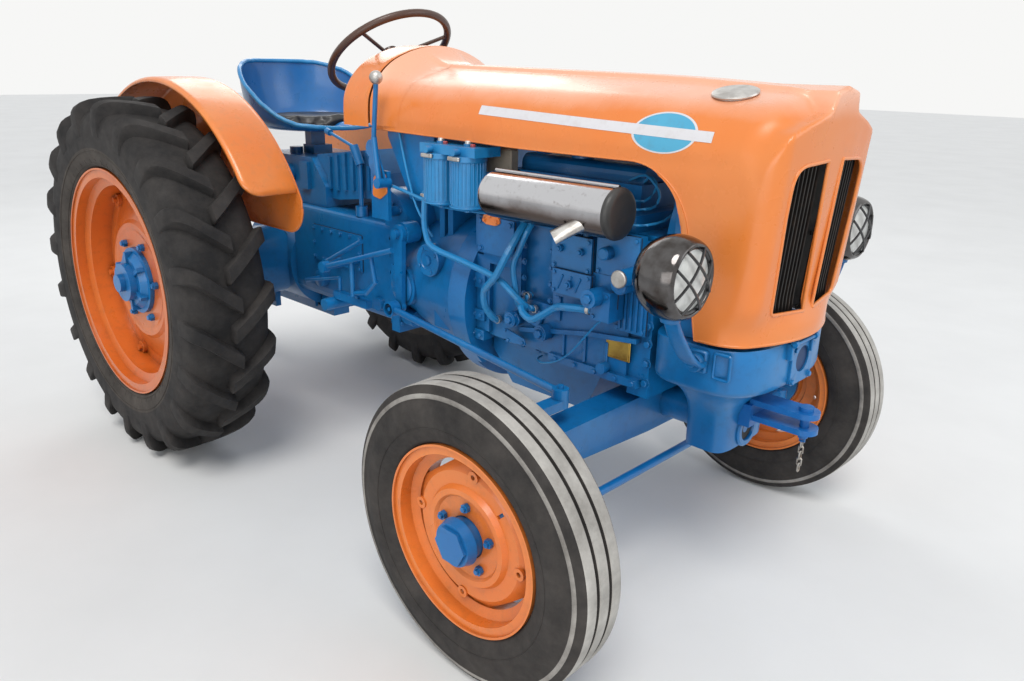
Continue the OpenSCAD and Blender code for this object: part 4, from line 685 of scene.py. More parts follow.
def hood_field(p):
    """Below zero inside the hood. p holds points in millimetres, one a row."""
    x, y, z = p[:, 0], np.abs(p[:, 1]), p[:, 2]
    # The middle line, from the cowl to the nose
    line = np.interp(x, [HOOD_REAR, 1600, 1740, 1860, 1960, 2000, 2030, 2060],
                     [1326, 1312, 1307.5, 1301, 1296, 1292, 1287, 1276])
    face = front_x(y, z)
    side = half_width(x)
    # Sheet with broad shoulders
    out = np.maximum(y - 50, 0)
    top = z - (line - 9 - 0.2 * out - 13 * (out / 150) ** 2)
    sheet = round_max(top, y - side, 84)
    sheet = round_max(sheet, x - (face - 10), 44 + 44 * smoothstep(1060, 1190, z))
    # Raised band along the middle, and the panel round the grille that it widens into
    band = round_max(round_max(z - line, y - 57, 6), x - face, 90)
    panel = round_max((z - np.interp(y, BROW_Y, BROW_Z)) * 0.85, x - face, 8)
    panel = round_max(panel, y - side + 0.6, 38)
    return soft_min(sheet, np.minimum(band, panel), 10)


def cast(origins, dirs, far=420.0):
    """Where rays from inside the hood meet its surface, by halving."""
    lo, hi = np.zeros(len(origins)), np.full(len(origins), far)
    for _ in range(34):
        mid = (lo + hi) / 2
        inside = hood_field(origins + dirs * mid[:, None]) < 0
        lo, hi = np.where(inside, mid, lo), np.where(inside, hi, mid)
    return origins + dirs * lo[:, None]


def lower_edge():
    """The hood's lower side edge: from the dash forward, then down behind the lamp."""
    pts = [(x, 1140 - 10 * (x - HOOD_REAR) / 583) for x in np.linspace(HOOD_REAR, 1368, 16)]
    pts += [(x, 1130.0) for x in np.linspace(1390, 1690, 11)]
    pts += [(1700 + 164 * math.sin(t), 966 + 164 * math.cos(t)) for t in np.linspace(0, 1.5, 22)]
    pts += [(1864 + 35 * t, 950 - 196 * t) for t in np.linspace(0.03, 1, 16)]
    pts += [(1909, HOOD_LOW)]
    return pts


def hood_rows():
    """Rows of points up one half of the hood: along the side first, then round the nose to the middle."""
    edge = lower_edge()
    run = [0.0]
    for a, c in zip(edge, edge[1:]):
        run.append(run[-1] + abs(c[0] - a[0]) + 0.4 * abs(c[1] - a[1]))
    rows = []
    for (x, low), s in zip(edge, run):
        above = HOOD_REAR + (HOOD_FRONT - HOOD_REAR) * s / run[-1]
        o, d = [], []
        for j in range(N_SIDE):
            k = j / N_SIDE
            o.append((x * (1 - k) ** 1.5 + above * (1 - (1 - k) ** 1.5), 0, low + (CORE_Z - low) * k))
            d.append((0, -1, 0))
        for j in range(N_TOP + 1):
            t = math.pi / 2 * j / N_TOP
            o.append((above, 0, CORE_Z))
            d.append((0, -math.cos(t), math.sin(t)))
        rows.append(cast(np.array(o, float), np.array(d, float)))
    for k in range(N_FRONT + 1):
        t = k / N_FRONT
        o, d = [], []
        for j in range(N_SIDE + N_TOP + 1):
            if j < N_SIDE:
                z, out, reach = HOOD_LOW + (CORE_Z - HOOD_LOW) * j / N_SIDE, np.array((0, -1, 0.0)), NOSE_HALF
            else:
                a = math.pi / 2 * (j - N_SIDE) / N_TOP
                z, out = CORE_Z, np.array((0, -math.cos(a), math.sin(a)))
                reach = NOSE_HALF * math.cos(a) + 110 * math.sin(a)
            if t < 0.4:
                target = out * reach + np.array((128 * t / 0.4, 0, 0))
            else:
                target = out * reach * (1 - (t - 0.4) / 0.6) + np.array((128 + 12 * (t - 0.4), 0, 0))
            o.append((NOSE_X, 0, z))
            d.append(target / np.linalg.norm(target))
        rows.append(cast(np.array(o, float), np.array(d)))
    return rows


def on_side(points, side=-1, lift=0.4):
    """Points of the hood's side from (x, z), lifted off it a little."""
    p = np.array([(x, 0, z) for x, z in points], float)
    q = cast(p, np.tile((0.0, -1.0, 0.0), (len(p), 1)))
    return [(a, -side * (b - lift), c) for a, b, c in q]


def on_front(points, lift=0.0):
    p = np.array([(1900, y, z) for y, z in points], float)
    q = cast(p, np.tile((1.0, 0.0, 0.0), (len(p), 1)))
    return [(a + lift, b, c) for a, b, c in q]


def on_roof(x, y):
    return cast(np.array([(x, y, 1200.0)]), np.array([(0.0, 0.0, 1.0)]))[0]


# One half of the grille's outline, as (y, z)
OPENING = rounded([(22, 815), (152, 825), (158, 905), (169, 1045), (168, 1143), (34, 1150)],
                  [4, 18, 300, 200, 60, 4], 8)
b = Build()
b.grid([[tuple(p) for p in r] + [(p[0], -p[1], p[2]) for p in r[-2::-1]] for r in hood_rows()])
hood = b.make("hood_sheet", [hood_orange], "hood", 40, fix=True)
thicken(hood, 0.0035)
cutters = []
for s in (1, -1):
    c = Build()
    outline = [(s * y, z) for y, z in OPENING]
    c.grid([[(front_x(y, z) - 60, y, z) for y, z in outline],
            [(front_x(y, z) + 40, y, z) for y, z in outline]], wrap_cols=True)
    n = len(outline)
    c.faces += [tuple(range(n)), tuple(range(n, 2 * n))]
    c.mats += [0, 0]
    cutter = c.make("grille_cutter_" + ("a" if s > 0 else "b"), [orange], "hood", 40, fix=True)
    cut = hood.modifiers.new("opening", "BOOLEAN")
    cut.object, cut.operation, cut.solver = cutter, "DIFFERENCE", "EXACT"
    cutters.append(cutter)
bake(hood)
for c in cutters:
    bpy.data.objects.remove(c)
smooth(hood.data, 38)
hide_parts("hood")

b = Build()
for s in (1, -1):
    b.tube(on_front([(s * y, z) for y, z in OPENING], -1.2), 4.4, 10, closed=True)
    b.tube(on_side([(x, z + 1) for x, z in lower_edge()], s, -1.6), 2.6, 8)
# Rolled lower edge round the nose
around = []
for k in range(61):
    a = math.pi * k / 60
    d = np.array((math.sin(a) * 140, -math.cos(a) * NOSE_HALF, 0.0))
    q = cast(np.array([(1909.0, 0.0, 757.0)]), (d / np.linalg.norm(d))[None, :])[0]
    around.append((q[0] - 2.5 * math.sin(a), q[1] + 2.5 * math.cos(a), 757.5))
b.tube(around, 3.6, 10)
lips = b.make("hood_lips", [orange], "hood", 60)


def behind_grille(y, z, depth):
    """x of a point behind the nose's face; below the grille it doesn't follow the lip."""
    return front_x(y, max(z, 850)) - depth


# Grille: upright bars behind each opening
b = Build()
for s in (1, -1):
    for i in range(9):
        y = s * (34 + i * 16.4)
        rows = []
        for z in np.linspace(806, 1158, 9):
            yy = y * (0.93 + 0.07 * (z - 806) / 352)
            x = behind_grille(yy, z, 17)
            rows.append([(x + u, yy + v, z) for u, v in ((-13, -1.6), (-1, -1.6), (0, 0), (-1, 1.6), (-13, 1.6))])
        b.grid(rows, wrap_cols=True)
    for z in (806, 982, 1154):
        x = behind_grille(80, z, 30)
        b.box(x - 4, x + 2, s * 24, s * 172, z - 5, z + 5, 0, 1)
bars = b.make("grille_bars", [grille_black], "hood", 40, fix=True)
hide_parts("grille")
# A black sheet behind the bars: painted shade inside the nose
b = Build()
b.grid([[(behind_grille(y, z, 52), y, z) for y in np.linspace(-176, 176, 12)]
        for z in np.linspace(800, 1160, 10)])
back = b.make("grille_painted_shade_sheet", [soot_and_painted_shade], "hood", 60)
thicken(back, 0.002)
bake(back)

# White stripe and blank oval on both sides
b = Build()
for s in (1, -1):
    xs = np.linspace(1217, 1892, 60)
    centre = np.interp(xs, [1217, 1892], [1215, 1193])
    rows = [on_side([(x, z + d) for x, z in zip(xs, centre)], s, 0.9) for d in np.linspace(-11, 11, 5)]
    b.grid(rows)
    for mat, scales in ((0, (1.0, 0.93)), (1, (0.93, 0.7, 0.45, 0.2, 0.01))):
        rows = [on_side([(1777 + 80 * q * u, 1195 + 43 * q * v) for u, v in circle(1, 56)], s, 0.5)
                for q in scales]
        b.grid(rows, wrap_cols=True, mat=mat)
decals = b.make("hood_stripe", [white_paint, oval_blue], "hood", 60)

# ---------------------------------------------------------------- cowl, and the hood's flared rear edge
half = [(275, 1146), (275, 1192), (269, 1235), (243, 1282), (192, 1327), (124, 1357), (60, 1372.5), (0, 1377)]
ARCH = [(p.x, p.y) for p in curve([Vector((y, z, 0)) for y, z in half + [(-y, z) for y, z in half[-2::-1]]], 6)]


def arch(x, i):
    """The cowl's outline at x, drawn in by i."""
    return [(x, y * (1 - i / 275), 1146 + (z - 1146) * (1 - i / 231)) for y, z in ARCH]


b = Build()
# Out across the dash's inner face, forward under the skin, back over it, and in across the dash
steps = [(667, i) for i in (225, 160, 90, 40)] + [(670, 12), (676, 5), (720, 4.5), (760, 4.5), (780, 4.5)]
steps += [(782.4, 3.6), (783, 2.2), (782.4, 0.8), (780, 0)] + [(x, 0) for x in range(765, 670, -15)]
steps += [(668, 0), (662, 1.5), (657, 5), (653.5, 10), (652, 16), (652, 28), (652.6, 30.5), (655, 31.5), (659, 32)]
steps += [(660, i) for i in (34, 60, 100, 150, 200, 225)]
b.grid([arch(x, i) for x, i in steps])
skin = b.make("cowl_skin", [orange], "chassis", 40, fix=True)
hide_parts("cowl")
# Two blank dials and the hand lever's ball
b = Build()
for y in (-150, 150):
    dial = turned((660, y, 1270), -90, "Y")
    b.lathe([(40, 0), (40, 9), (38.5, 10.5), (35, 10.5), (34, 8)], dial, 40)
    b.lathe([(34, 8), (33, 6.5), (6, 6.5), (5, 8.5), (0.01, 8.5)], dial, 40, mat=1)
b.lathe([(19 * math.sin(t), -19 * math.cos(t)) for t in (math.pi * k / 14 for k in range(15))],
        Matrix.Translation((862, -300, 1285)), 28)
obj = b.make("dash_dials", [dull_alloy, lamp_black], "chassis", 40)

# The hood's sheet widens back to the cowl's outline
FLARE_Z = 1150
b = Build()
out = [p for p in ARCH if abs(p[0]) < 274 or p[1] > FLARE_Z]
dirs = np.array([(0, y, z - FLARE_Z + 1e-6) for y, z in out], float)
dirs /= np.linalg.norm(dirs, axis=1)[:, None]
rows = []
for k in range(13):
    t = k / 12
    x = 900 - 110 * t
    base = cast(np.tile((x, 0.0, FLARE_Z), (len(out), 1)), dirs)
    row = []
    for (y, z), q, d in zip(out, base, dirs):
        rim = Vector((x, y * 0.985, FLARE_Z + (z - FLARE_Z) * 0.992))
        q = Vector(q) + Vector(d) * 0.5
        row.append(q + (rim - q) * t ** 1.9)
    rows.append(row)
rows.append([Vector((790, v.y * 0.99, FLARE_Z + (v.z - FLARE_Z) * 0.985)) for v in rows[-1]])
rows.append([Vector((790, q[1], q[2])) for q in base])
b.grid(rows)
flare = b.make("hood_flare", [hood_orange], "hood", 50)

# Filler cap
b = Build()
cap = turned(on_roof(1872, -112), 14, "X") @ Matrix.Rotation(math.radians(2), 4, "Y")
b.lathe([(44, -12), (44, 0), (49.5, 1), (51, 3.5), (50, 6.5), (46, 8.5), (30, 10.5), (12, 11.5), (0.01, 11.8)],
        cap, 56)
obj = b.make("filler_cap", [dull_alloy], "hood", 35)


# ---------------------------------------------------------------- fenders
FENDER_R, FENDER_WIDTH, FENDER_Y = 664.0, 178.0, 382  # the crown from the axle, its width, its inner side
SKIRT_R, HEM_R, HEM_Z = 661, 80, 890.5  # the skirt's arch, and its lower corners with their centres' height


def fender(name, side):
    r, width, corner = FENDER_R, FENDER_WIDTH, 60.0
    s0, s1 = math.radians(31) * r, math.radians(148) * r
    b = Build()

    def drop(d):
        """How far the sheet bends down at a distance from its edge."""
        e = max(0.0, 1 - d / 16.0)
        return 7.5 * e ** 2.4

    def place(s, w, deep=0.0):
        # w runs from the skirt out; the sheet is a little crowned across
        out = min(s - s0, s1 - s, width - w)
        if width - w < corner and min(s - s0, s1 - s) < corner:
            u, v = corner - min(s - s0, s1 - s), corner - (width - w)
            out = corner - math.hypot(u, v)
        q = r - drop(max(out, 0)) - 1.6 * ((w / width - 0.45) * 2) ** 2 - deep
        if w < 12:
            q -= 12 - math.sqrt(max(144 - (12 - w) ** 2, 0))
        a = s / r
        return (q * math.cos(a), side * (FENDER_Y + w), REAR_R + q * math.sin(a))

    across = [0, 2, 5, 9, 14, 24, 40, 60, 80, 100, 118, 126, 134, 142, 149, 155, 160, 165, 169, 172, 174.5, 176.5,
              width]
    ends = [0, 1.5, 3, 5, 8, 12, 17, 24, 34, 48]
    along = ends + list(np.linspace(66, s1 - s0 - 66, 60)) + [s1 - s0 - v for v in reversed(ends)]
    rows = []
    for w in across:
        v = corner - (width - w)
        cut = corner - math.sqrt(max(corner ** 2 - v ** 2, 0)) if v > 0 else 0
        k = (s1 - s0 - 2 * cut) / (s1 - s0)
        rows.append([(s0 + cut + a * k, w) for a in along])
    b.grid([[place(s, w) for s, w in row] for row in rows])
    rim = [row[0] for row in rows] + rows[-1][1:-1] + [row[-1] for row in reversed(rows)]
    b.grid([[place(s, w, deep) for s, w in rim] for deep in (0.0, 3.5, 7.5)])
    obj = b.make("fender_" + name + "_crown", [orange], "chassis", 50, fix=True)
    thicken(obj, 0.003)
    obj.modifiers.new("edge", "BEVEL").width = 0.0008
    bake(obj)
    smooth(obj.data, 50)
    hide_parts("fender_" + name)

    # Skirt: the arch on top, a straight hem below
    b = Build()
    outline = [(502 + HEM_R * math.cos(t), HEM_Z + HEM_R * math.sin(t))
               for t in np.linspace(-math.pi / 2, 0, 12)]
    outline += [(SKIRT_R * math.cos(t), REAR_R + SKIRT_R * math.sin(t))
                for t in np.linspace(math.acos(582 / SKIRT_R), math.acos(-580 / SKIRT_R), 70)]
    outline += [(-500 + HEM_R * math.cos(t), HEM_Z + HEM_R * math.sin(t))
                for t in np.linspace(math.pi, 1.5 * math.pi, 12)]
    b.prism(outline, side_plane(side * 385 + 2), 4, 0.8)
    b.faces.append(tuple(range(len(outline))))
    b.mats.append(0)
    b.tube([(x, side * 385, z) for x, z in outline[-12:] + outline[:12]], 4.2, 8)
    skirt = b.make("fender_" + name + "_skirt", [orange], "chassis", 40, fix=True)


for name, side in SIDES.items():
    fender(name, side)

# ---------------------------------------------------------------- seat
SEAT_X, SEAT_Z = 95.0, 1085.0
WALL = curve([(0, 0, 0), (60, 0, 0), (120, 0, 0), (160, 2, 0), (205, 11, 0), (232, 38, 0), (246, 85, 0),
              (256, 145, 0), (259, 190, 0), (260, 238, 0)], 5)
WALL_R = np.array([p.x for p in WALL])
WALL_H = np.array([p.y for p in WALL])


def seat_rim(x):
    return np.interp(x, [-165, -120, -30, 95, 180, 235, 305, 330], [234, 231, 198, 120, 57, 26, 13, 13])


def seat_point(phi, t, off=0.0):
    """t runs from the middle of the pan to its rim."""
    ray = np.linspace(0, 1, 160)
    rr = np.interp(ray * (len(WALL) - 1), range(len(WALL)), WALL_R)
    hh = np.interp(ray * (len(WALL) - 1), range(len(WALL)), WALL_H)
    over = hh - seat_rim(SEAT_X + rr * math.cos(phi))
    last = int(np.argmax(over > 0)) if (over > 0).any() else len(ray) - 1
    k = t * last
    r, h = np.interp(k, range(len(ray)), rr), np.interp(k, range(len(ray)), hh)
    x, y = SEAT_X + (r - off) * math.cos(phi), (r - off) * math.sin(phi)
    bump = 30 * math.exp(-((x - 262) / 34) ** 2 - (y / 40) ** 2)
    return (x, y, SEAT_Z + 2 + h + bump * (1 - smoothstep(0.93, 1.0, t)) + off * 0.3)


b = Build()
steps = [0, 0.12, 0.24, 0.36, 0.46, 0.55, 0.62, 0.68, 0.73, 0.78, 0.82, 0.86, 0.895, 0.925, 0.95, 0.97, 0.985, 1.0]
turns = angles(120)
b.grid([[seat_point(a, t) for a in turns] for t in steps[1:]], wrap_cols=True)
first = len(b.verts) - len(turns) * (len(steps) - 1)
b.verts.append((SEAT_X, 0, SEAT_Z + 2))
b.faces += [(len(b.verts) - 1, first + k, first + (k + 1) % len(turns)) for k in range(len(turns))]
b.mats += [0] * len(turns)
pan = b.make("seat_bowl", [seat_blue], "chassis", 50, fix=True)
thicken(pan, 0.0035, 0)
bake(pan)
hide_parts("seat_pan")
b = Build()
b.tube([seat_point(a, 1.0, 1.0) for a in turns], 7.8, 12, closed=True)
obj = b.make("seat_rim", [light_blue], "chassis", 60)

# Cushion: swollen with the cloth solver, then set down in the bowl
b = Build()
prof = [(0.5, 10), (60, 9), (110, 7), (140, 5), (158, 4), (169, 9), (173, 17), (170, 26), (158, 33), (135, 37),
        (100, 39), (55, 40), (0.5, 40)]
b.lathe(prof, Matrix.Translation((SEAT_X - 2, 0, SEAT_Z + 4)), 72)
cushion = b.make("seat_cushion_vinyl", [vinyl], "chassis", 180, fix=True)
remesh = cushion.modifiers.new("remesh", "REMESH")
remesh.mode, remesh.voxel_size = "VOXEL", 0.006
bake(cushion)
start = np.array([v.co[:] for v in cushion.data.vertices])
CLOTH_FRAMES, SWELL_LIMIT = 20, 0.014  # the cover may move this far, in metres
cloth = cushion.modifiers.new("cloth", "CLOTH")
cs = cloth.settings
cs.quality = 6
cs.mass, cs.tension_stiffness, cs.compression_stiffness, cs.bending_stiffness = 0.3, 12, 12, 0.35
cs.use_pressure, cs.uniform_pressure_force = True, 4.0
cs.shrink_min = -0.075
cs.effector_weights.gravity = 0
for n in range(1, CLOTH_FRAMES + 1):
    scene.frame_set(n)
bake(cushion)
moved = np.array([v.co[:] for v in cushion.data.vertices]) - start
size = np.linalg.norm(moved, axis=1)
moved *= np.minimum(1, SWELL_LIMIT / np.maximum(size, 1e-9))[:, None]
start = start + moved
scene.frame_set(1)
# Hollow from use, a crease or two, and the dent over the raised front of the bowl
x, y, z = start[:, 0] * 1000 + MID_X * 1000 - SEAT_X, start[:, 1] * 1000, start[:, 2] * 1000
upper = smoothstep(1100, 1122, z)
z -= upper * 6 * np.exp(-(x / 95) ** 2 - (y / 95) ** 2)
for cx, cy, ang, wide, deep in ((60, -40, 0.5, 9, 4.5), (20, 60, -0.7, 10, 4), (-60, -70, 1.3, 9, 4),
                                (95, 70, 2.2, 8, 3.5), (-20, 10, 0.1, 12, 3)):
    u = (x - cx) * math.cos(ang) + (y - cy) * math.sin(ang)
    v = -(x - cx) * math.sin(ang) + (y - cy) * math.cos(ang) + 6 * np.sin(u / 22)
    z -= upper * deep * np.exp(-(v / wide) ** 2) * np.exp(-(u / 55) ** 2)
lift = 26 * np.exp(-((x + SEAT_X - 262) / 36) ** 2 - (y / 42) ** 2)
z += lift * (1 - 0.45 * upper)
r = np.hypot(x, y)
floor_z = SEAT_Z + 5.5 + np.interp(r, [0, 150, 205, 240], [0, 1, 12, 48])
z = np.maximum(z, floor_z)
start = np.stack([(x + SEAT_X - MID_X * 1000) / 1000, y / 1000, z / 1000], 1)
cushion.data.vertices.foreach_set("co", start.ravel())
cushion.data.update()
soft = cushion.modifiers.new("soft", "SMOOTH")
soft.factor, soft.iterations = 0.5, 2
cushion.modifiers.new("subdivision", "SUBSURF").levels = 1
bake(cushion)
smooth(cushion.data)
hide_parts("seat_cushion")

# ---------------------------------------------------------------- headlamps
for name, side in SIDES.items():
    m = facing_forward((1986, side * 404, 937))
    b = Build()
    b.lathe([(66, -3), (67, 1), (70, 2.6), (74, 1.2), (78, -4), (82, -13), (84.8, -25), (86, -38), (85.2, -53),
             (81, -70), (72.5, -87), (59, -102), (41, -113.5), (20, -120.5), (0.01, -122.5)], m, 72)
    b.lathe([(0.01, -129), (11, -128), (13, -124), (13, -116)], m, 24)
    shell_obj = b.make("lamp_shell_" + name, [chrome], "chassis", 60)
    b = Build()
    b.lathe([(61, -7), (62.5, -2.5), (66.5, -0.5), (67.5, -3)], m, 72)
    # Four domed bars, crossed and turned by 45 degrees
    c, s = math.cos(math.pi / 4), math.sin(math.pi / 4)
    for along in (0, 1):
        for g in (-22, 22):
            h = math.sqrt(69 ** 2 - g ** 2)
            pts = []
            for k in range(17):
                t = -h + 2 * h * k / 16
                u, v = (t, g) if along else (g, t)
                rise = 13 * (1 - (u * u + v * v) / 69 ** 2) + 0.6 + 1.5 * along
                pts.append(m @ Vector((c * u - s * v, s * u + c * v, rise)))
            b.tube(pts, 3.0, 8)
    ring_obj = b.make("lamp_guard_" + name, [lamp_black], "chassis", 40)
    b = Build()
    b.lathe([(0.01, 1.5), (25, 0.6), (45, -1.6), (60, -5), (64, -7)], m, 64)
    glass_obj = b.make("lamp_glass_" + name, [lens], "chassis", 60)
    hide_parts("headlamps")
    # Stalk: a bent bar from its clamp on the side of the support up to the bowl
    b = Build()
    stalk = curve([(x, side * y, z) for x, y, z in ((1915, 240, 712), (1925, 266, 716), (1934, 318, 748),
                                                    (1938, 366, 800), (1941, 398, 845), (1942, 404, 868))])
    rows = []
    for k, p in enumerate(stalk):
        t = (Vector(stalk[min(k + 1, len(stalk) - 1)]) - Vector(stalk[max(k - 1, 0)])).normalized()
        across = Vector((1, 0, 0)) - t * t.x
        wide, thick = across.normalized() * (25 - 9 * k / (len(stalk) - 1)), across.normalized().cross(t) * 5.5
        rows.append([Vector(p) + wide * abs(math.cos(a)) ** 0.4 * (1 if math.cos(a) > 0 else -1)
                     + thick * abs(math.sin(a)) ** 0.5 * (1 if math.sin(a) > 0 else -1)
                     for a in angles(20, 0.5)])
    b.grid(rows, wrap_cols=True)
    b.lathe([(14, -14), (20, -11), (22, -2), (22, 7), (19, 9), (12, 10)],
            Matrix.Translation((1942, side * 404, 856)), 28)
    b.lathe([(0.01, 0), (20, 0), (21, 2), (21, 17), (19.5, 19), (0.01, 19.5)],
            turned((1915, side * 237.5, 712), -side * 90, "X"), 28)
    b.hexes([(1915, side * 257, 712)], (0, side, 0), 9, 7)
    stalk_obj = b.make("lamp_stalk_" + name, [blue], "chassis", 40)


# ---------------------------------------------------------------- front support: one smooth casting
def support_ring(z):
    """The casting's outline at a height: a broad bowed tray that draws in to the pedestal."""
    pull = np.interp(z, [440, 530, 560, 585, 605, 622, 632], [1, 0.97, 0.86, 0.66, 0.42, 0.17, 0.0])
    shrink = np.interp(z, [600, 622, 632, 640, 648, 742, 744], [0.88, 0.905, 0.95, 0.985, 1, 1, 0.992])
    ring = []
    for c, s in circle(1, 96, 0.5):
        # Tray: back at 1762, sides at 225, front bowed out to 2037
        if c > 0:
            r = ((c / 137) ** 3.1 + abs(s / 225) ** 3.1) ** (-1 / 3.1)
        else:
            r = (abs(c / 138) ** 5 + abs(s / 225) ** 5) ** (-1 / 5)
        tray = Vector((1900 + r * c * shrink, r * s * shrink))
        r = (abs(c / 58) ** 4.5 + abs(s / 111) ** 4.5) ** (-1 / 4.5)
        foot = Vector((1872.5 + r * c, r * s))
        ring.append(Vector((*(tray * (1 - pull) + foot * pull), z)))
    return ring


def drawn_in(ring, k, z):
    return [Vector((1885 + (v.x - 1885) * k, v.y * k, z)) for v in ring]


b = Build()
levels = [440, 446, 470, 500, 530, 545, 560, 572, 585, 595, 605, 613, 622, 628, 632, 636, 640, 648, 700, 742, 744]
rings = [support_ring(z) for z in levels]
inner = [drawn_in(rings[-1], k, z) for k, z in ((0.86, 744), (0.84, 741), (0.83, 668), (0.8, 662), (0.3, 660))]
sole = [drawn_in(rings[0], k, z) for k, z in ((0.2, 450), (0.55, 450), (0.62, 440), (0.94, 438.5))]
b.grid(sole + rings + inner, wrap_cols=True)
# Pads of the lamp stalks with framed panels beside them, clamp of the axle's pin
for side in (1, -1):
    b.box(1893, 1937, side * 220, side * 237, 686, 738, 0, 4)
    b.border(1949, 1988, 678, 736, side * 222, 4, 6, 4, 8)
collar = turned((1929, 0, 480), 90, "Y")
b.lathe([(46, -6), (46, 6), (42, 10), (31, 10), (29, 7), (29, 2)], collar, 40)
# Painted shade: a black face sunk inside the collar
b.lathe([(29, 3), (12, 3), (10, 1), (0.01, 1)], collar, 40, mat=1)
# Plate with its round hole, hinge lugs and pin
plate_out, hole = [], circle(32, 48, 0.5, 18, 690)
for c, s in circle(1, 48, 0.5):
    r = (abs(c / 51.5) ** 9 + abs(s / 49.5) ** 9) ** (-1 / 9)
    plate_out.append((17.5 + r * c, 681 + r * s))
b.grid([[(2026, y, z) for y, z in plate_out], [(2042, y, z) for y, z in plate_out],
        [(2043, 18 + (y - 18) * 0.98, 690 + (z - 690) * 0.98) for y, z in plate_out],
        [(2043, y, z) for y, z in hole], [(2037.4, y, z) for y, z in hole]], wrap_cols=True)
# Painted shade: a dark blue face at the back of the hole
b.lathe([(32.5, 0), (20, -0.5), (0.01, -0.5)], turned((2038.6, 18, 690), 90, "Y"), 32, mat=2)
for y0 in (-56, 46):
    b.box(2028, 2050, y0, y0 + 10, 702, 742, 0, 2)
    b.tube([(2052, y0, 742), (2052, y0 + 10, 742)], 8, 20)
b.tube([(2052, -58, 742), (2052, 58, 742)], 4.5, 16)
casting = b.make("support_casting", [blue, soot_and_painted_shade, painted_shade_blue], "chassis", 40, fix=True)
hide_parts("front_support")

# ---------------------------------------------------------------- silencer
PIPE_Y, PIPE_Z = -300, 1020  # the silencer's axis
b = Build()
m = facing_forward((1320, PIPE_Y, PIPE_Z))
b.lathe([(0.01, 1), (38, 1), (46, 3), (53, 8), (57, 15), (58, 22), (58, 393), (58, 396)], m, 64)
b.lathe([(58.5, 396), (59.3, 397), (59.3, 402), (57, 408), (50, 413), (44, 414.6), (0.01, 414.8)], m, 64, mat=1)
# Folded seam along the top
b.grid([[(x, PIPE_Y + 58.3 * math.sin(a), PIPE_Z + (58.3 + h) * math.cos(a)) for a, h in
         ((0.02, 0), (0.05, 3.2), (0.08, 4.4), (0.13, 4.6), (0.18, 3.2), (0.21, 0))]
        for x in np.linspace(1334, 1716, 24)])
spout = [(1668, -322, 1004), (1648, -340, 992), (1622, -362, 974), (1604, -381, 960)]


def spout_rows(cut):
    """The tail pipe: round where it leaves the shell, flatter and wider at its open end."""
    out = []
    for i, (p, wide, flat) in enumerate(zip(spout, (17, 19, 24, 28), (17, 17, 15, 13))):
        near, far = Vector(spout[max(i - 1, 0)]), Vector(spout[min(i + 1, 3)])
        t = (far - near).normalized()
        side = t.cross(Vector((0.35, 0.1, 1))).normalized()
        up = side.cross(t)
        out.append([Vector(p) + side * (wide - cut) * c + up * (flat - cut) * s for c, s in circle(1, 32)])
    return out


outer, inner = spout_rows(0), spout_rows(2.2)
b.grid(outer, wrap_cols=True, mat=3)
b.grid(inner[::-1], wrap_cols=True, mat=2)
b.grid([outer[-1], inner[-1]], wrap_cols=True, mat=3)
b.tube([(1700, -258, PIPE_Z + d) for d in (0, 1)], 2, 8)
b.tube(curve([(1480, PIPE_Y, 1010), (1480, -230, 1000), (1480, -180, 985), (1480, -128, 980)], 6), 26, 20)
b.box(1430, 1530, -142, -130, 952, 1008, 0, 2)
silencer = b.make("silencer_shell", [exhaust, black, soot_and_painted_shade, steel], "chassis", 40, fix=True)
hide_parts("silencer")


# ---------------------------------------------------------------- softened edges of the castings
for part in frame["record"]["subparts"]:
    obj = frame["nodes"].get(part["node"])
    if obj is None or part["material_slot"] != "blue_paint" or part["node"] in ("hoses", "seat_pan"):
        continue
    edge = obj.modifiers.new("edge", "BEVEL")
    edge.width, edge.segments, edge.limit_method = 0.018 if part["node"] == "fuel_tank" else 0.0022, 2, "ANGLE"
    edge.angle_limit = math.radians(38)
    edge.use_clamp_overlap = True

# ---------------------------------------------------------------- bolts
b = Build()
for s in (1, -1):
    out, y = (0, s, 0), s * 162
    b.hexes(spread((290, 344, 398, 452, 506, 560), y, (661, 764)), out, 6.5, 5, washer=1.2)
    b.hexes(spread((290, 560), y, (712,)), out, 6.5, 5, washer=1.2)
    for z in (520, 575, 630, 685, 740, 795):
        b.hexes([(740, s * 164, z)], REAR, 8, 7, washer=1.5)
        b.hexes([(780, s * 164, z)], FRONT, 8, 6)
    b.hexes(spread(range(1200, 1700, 62), s * 168, (586,)), (0, 0, -1), 7, 6, washer=1.2)
    b.hexes([(x, s * 290, z) for x, z in circle(115, 12, 0.5, 0, REAR_R)], out, 8, 7, washer=1.5)
    b.hexes([(x, s * 486, z) for x, z in circle(84, 8, 0.5, 0, REAR_R)], (0, -s, 0), 6.5, 6)
    b.hexes(spread((1905, 1925), s * 231, (698, 728)), out, 5.5, 5)
    b.hexes(spread((1752,), s * 190, (600, 650, 700, 745)), out, 9, 8, washer=1.5)
    b.hexes(spread((-44, 44), s * 386, (828, 858)), (0, -s, 0), 8, 6, washer=1.5)
# Ring round the bell, rear cover, shaft flange, front plate
b.hexes([(1104, *p) for p in circle(240, 18, 0, 0, 680)], REAR, 8, 7, washer=1.5)
b.hexes([(-190, *p) for p in circle(136, 12, 0, 0, REAR_R)], REAR, 8, 7, washer=1.5)
b.hexes([(-212, *p) for p in circle(35, 4, 0.5, 0, 562.5)], REAR, 6, 5)
b.hexes([(2043, y, z) for y in (-26, 61) for z in (642, 720)], FRONT, 6.5, 5, washer=1.2)
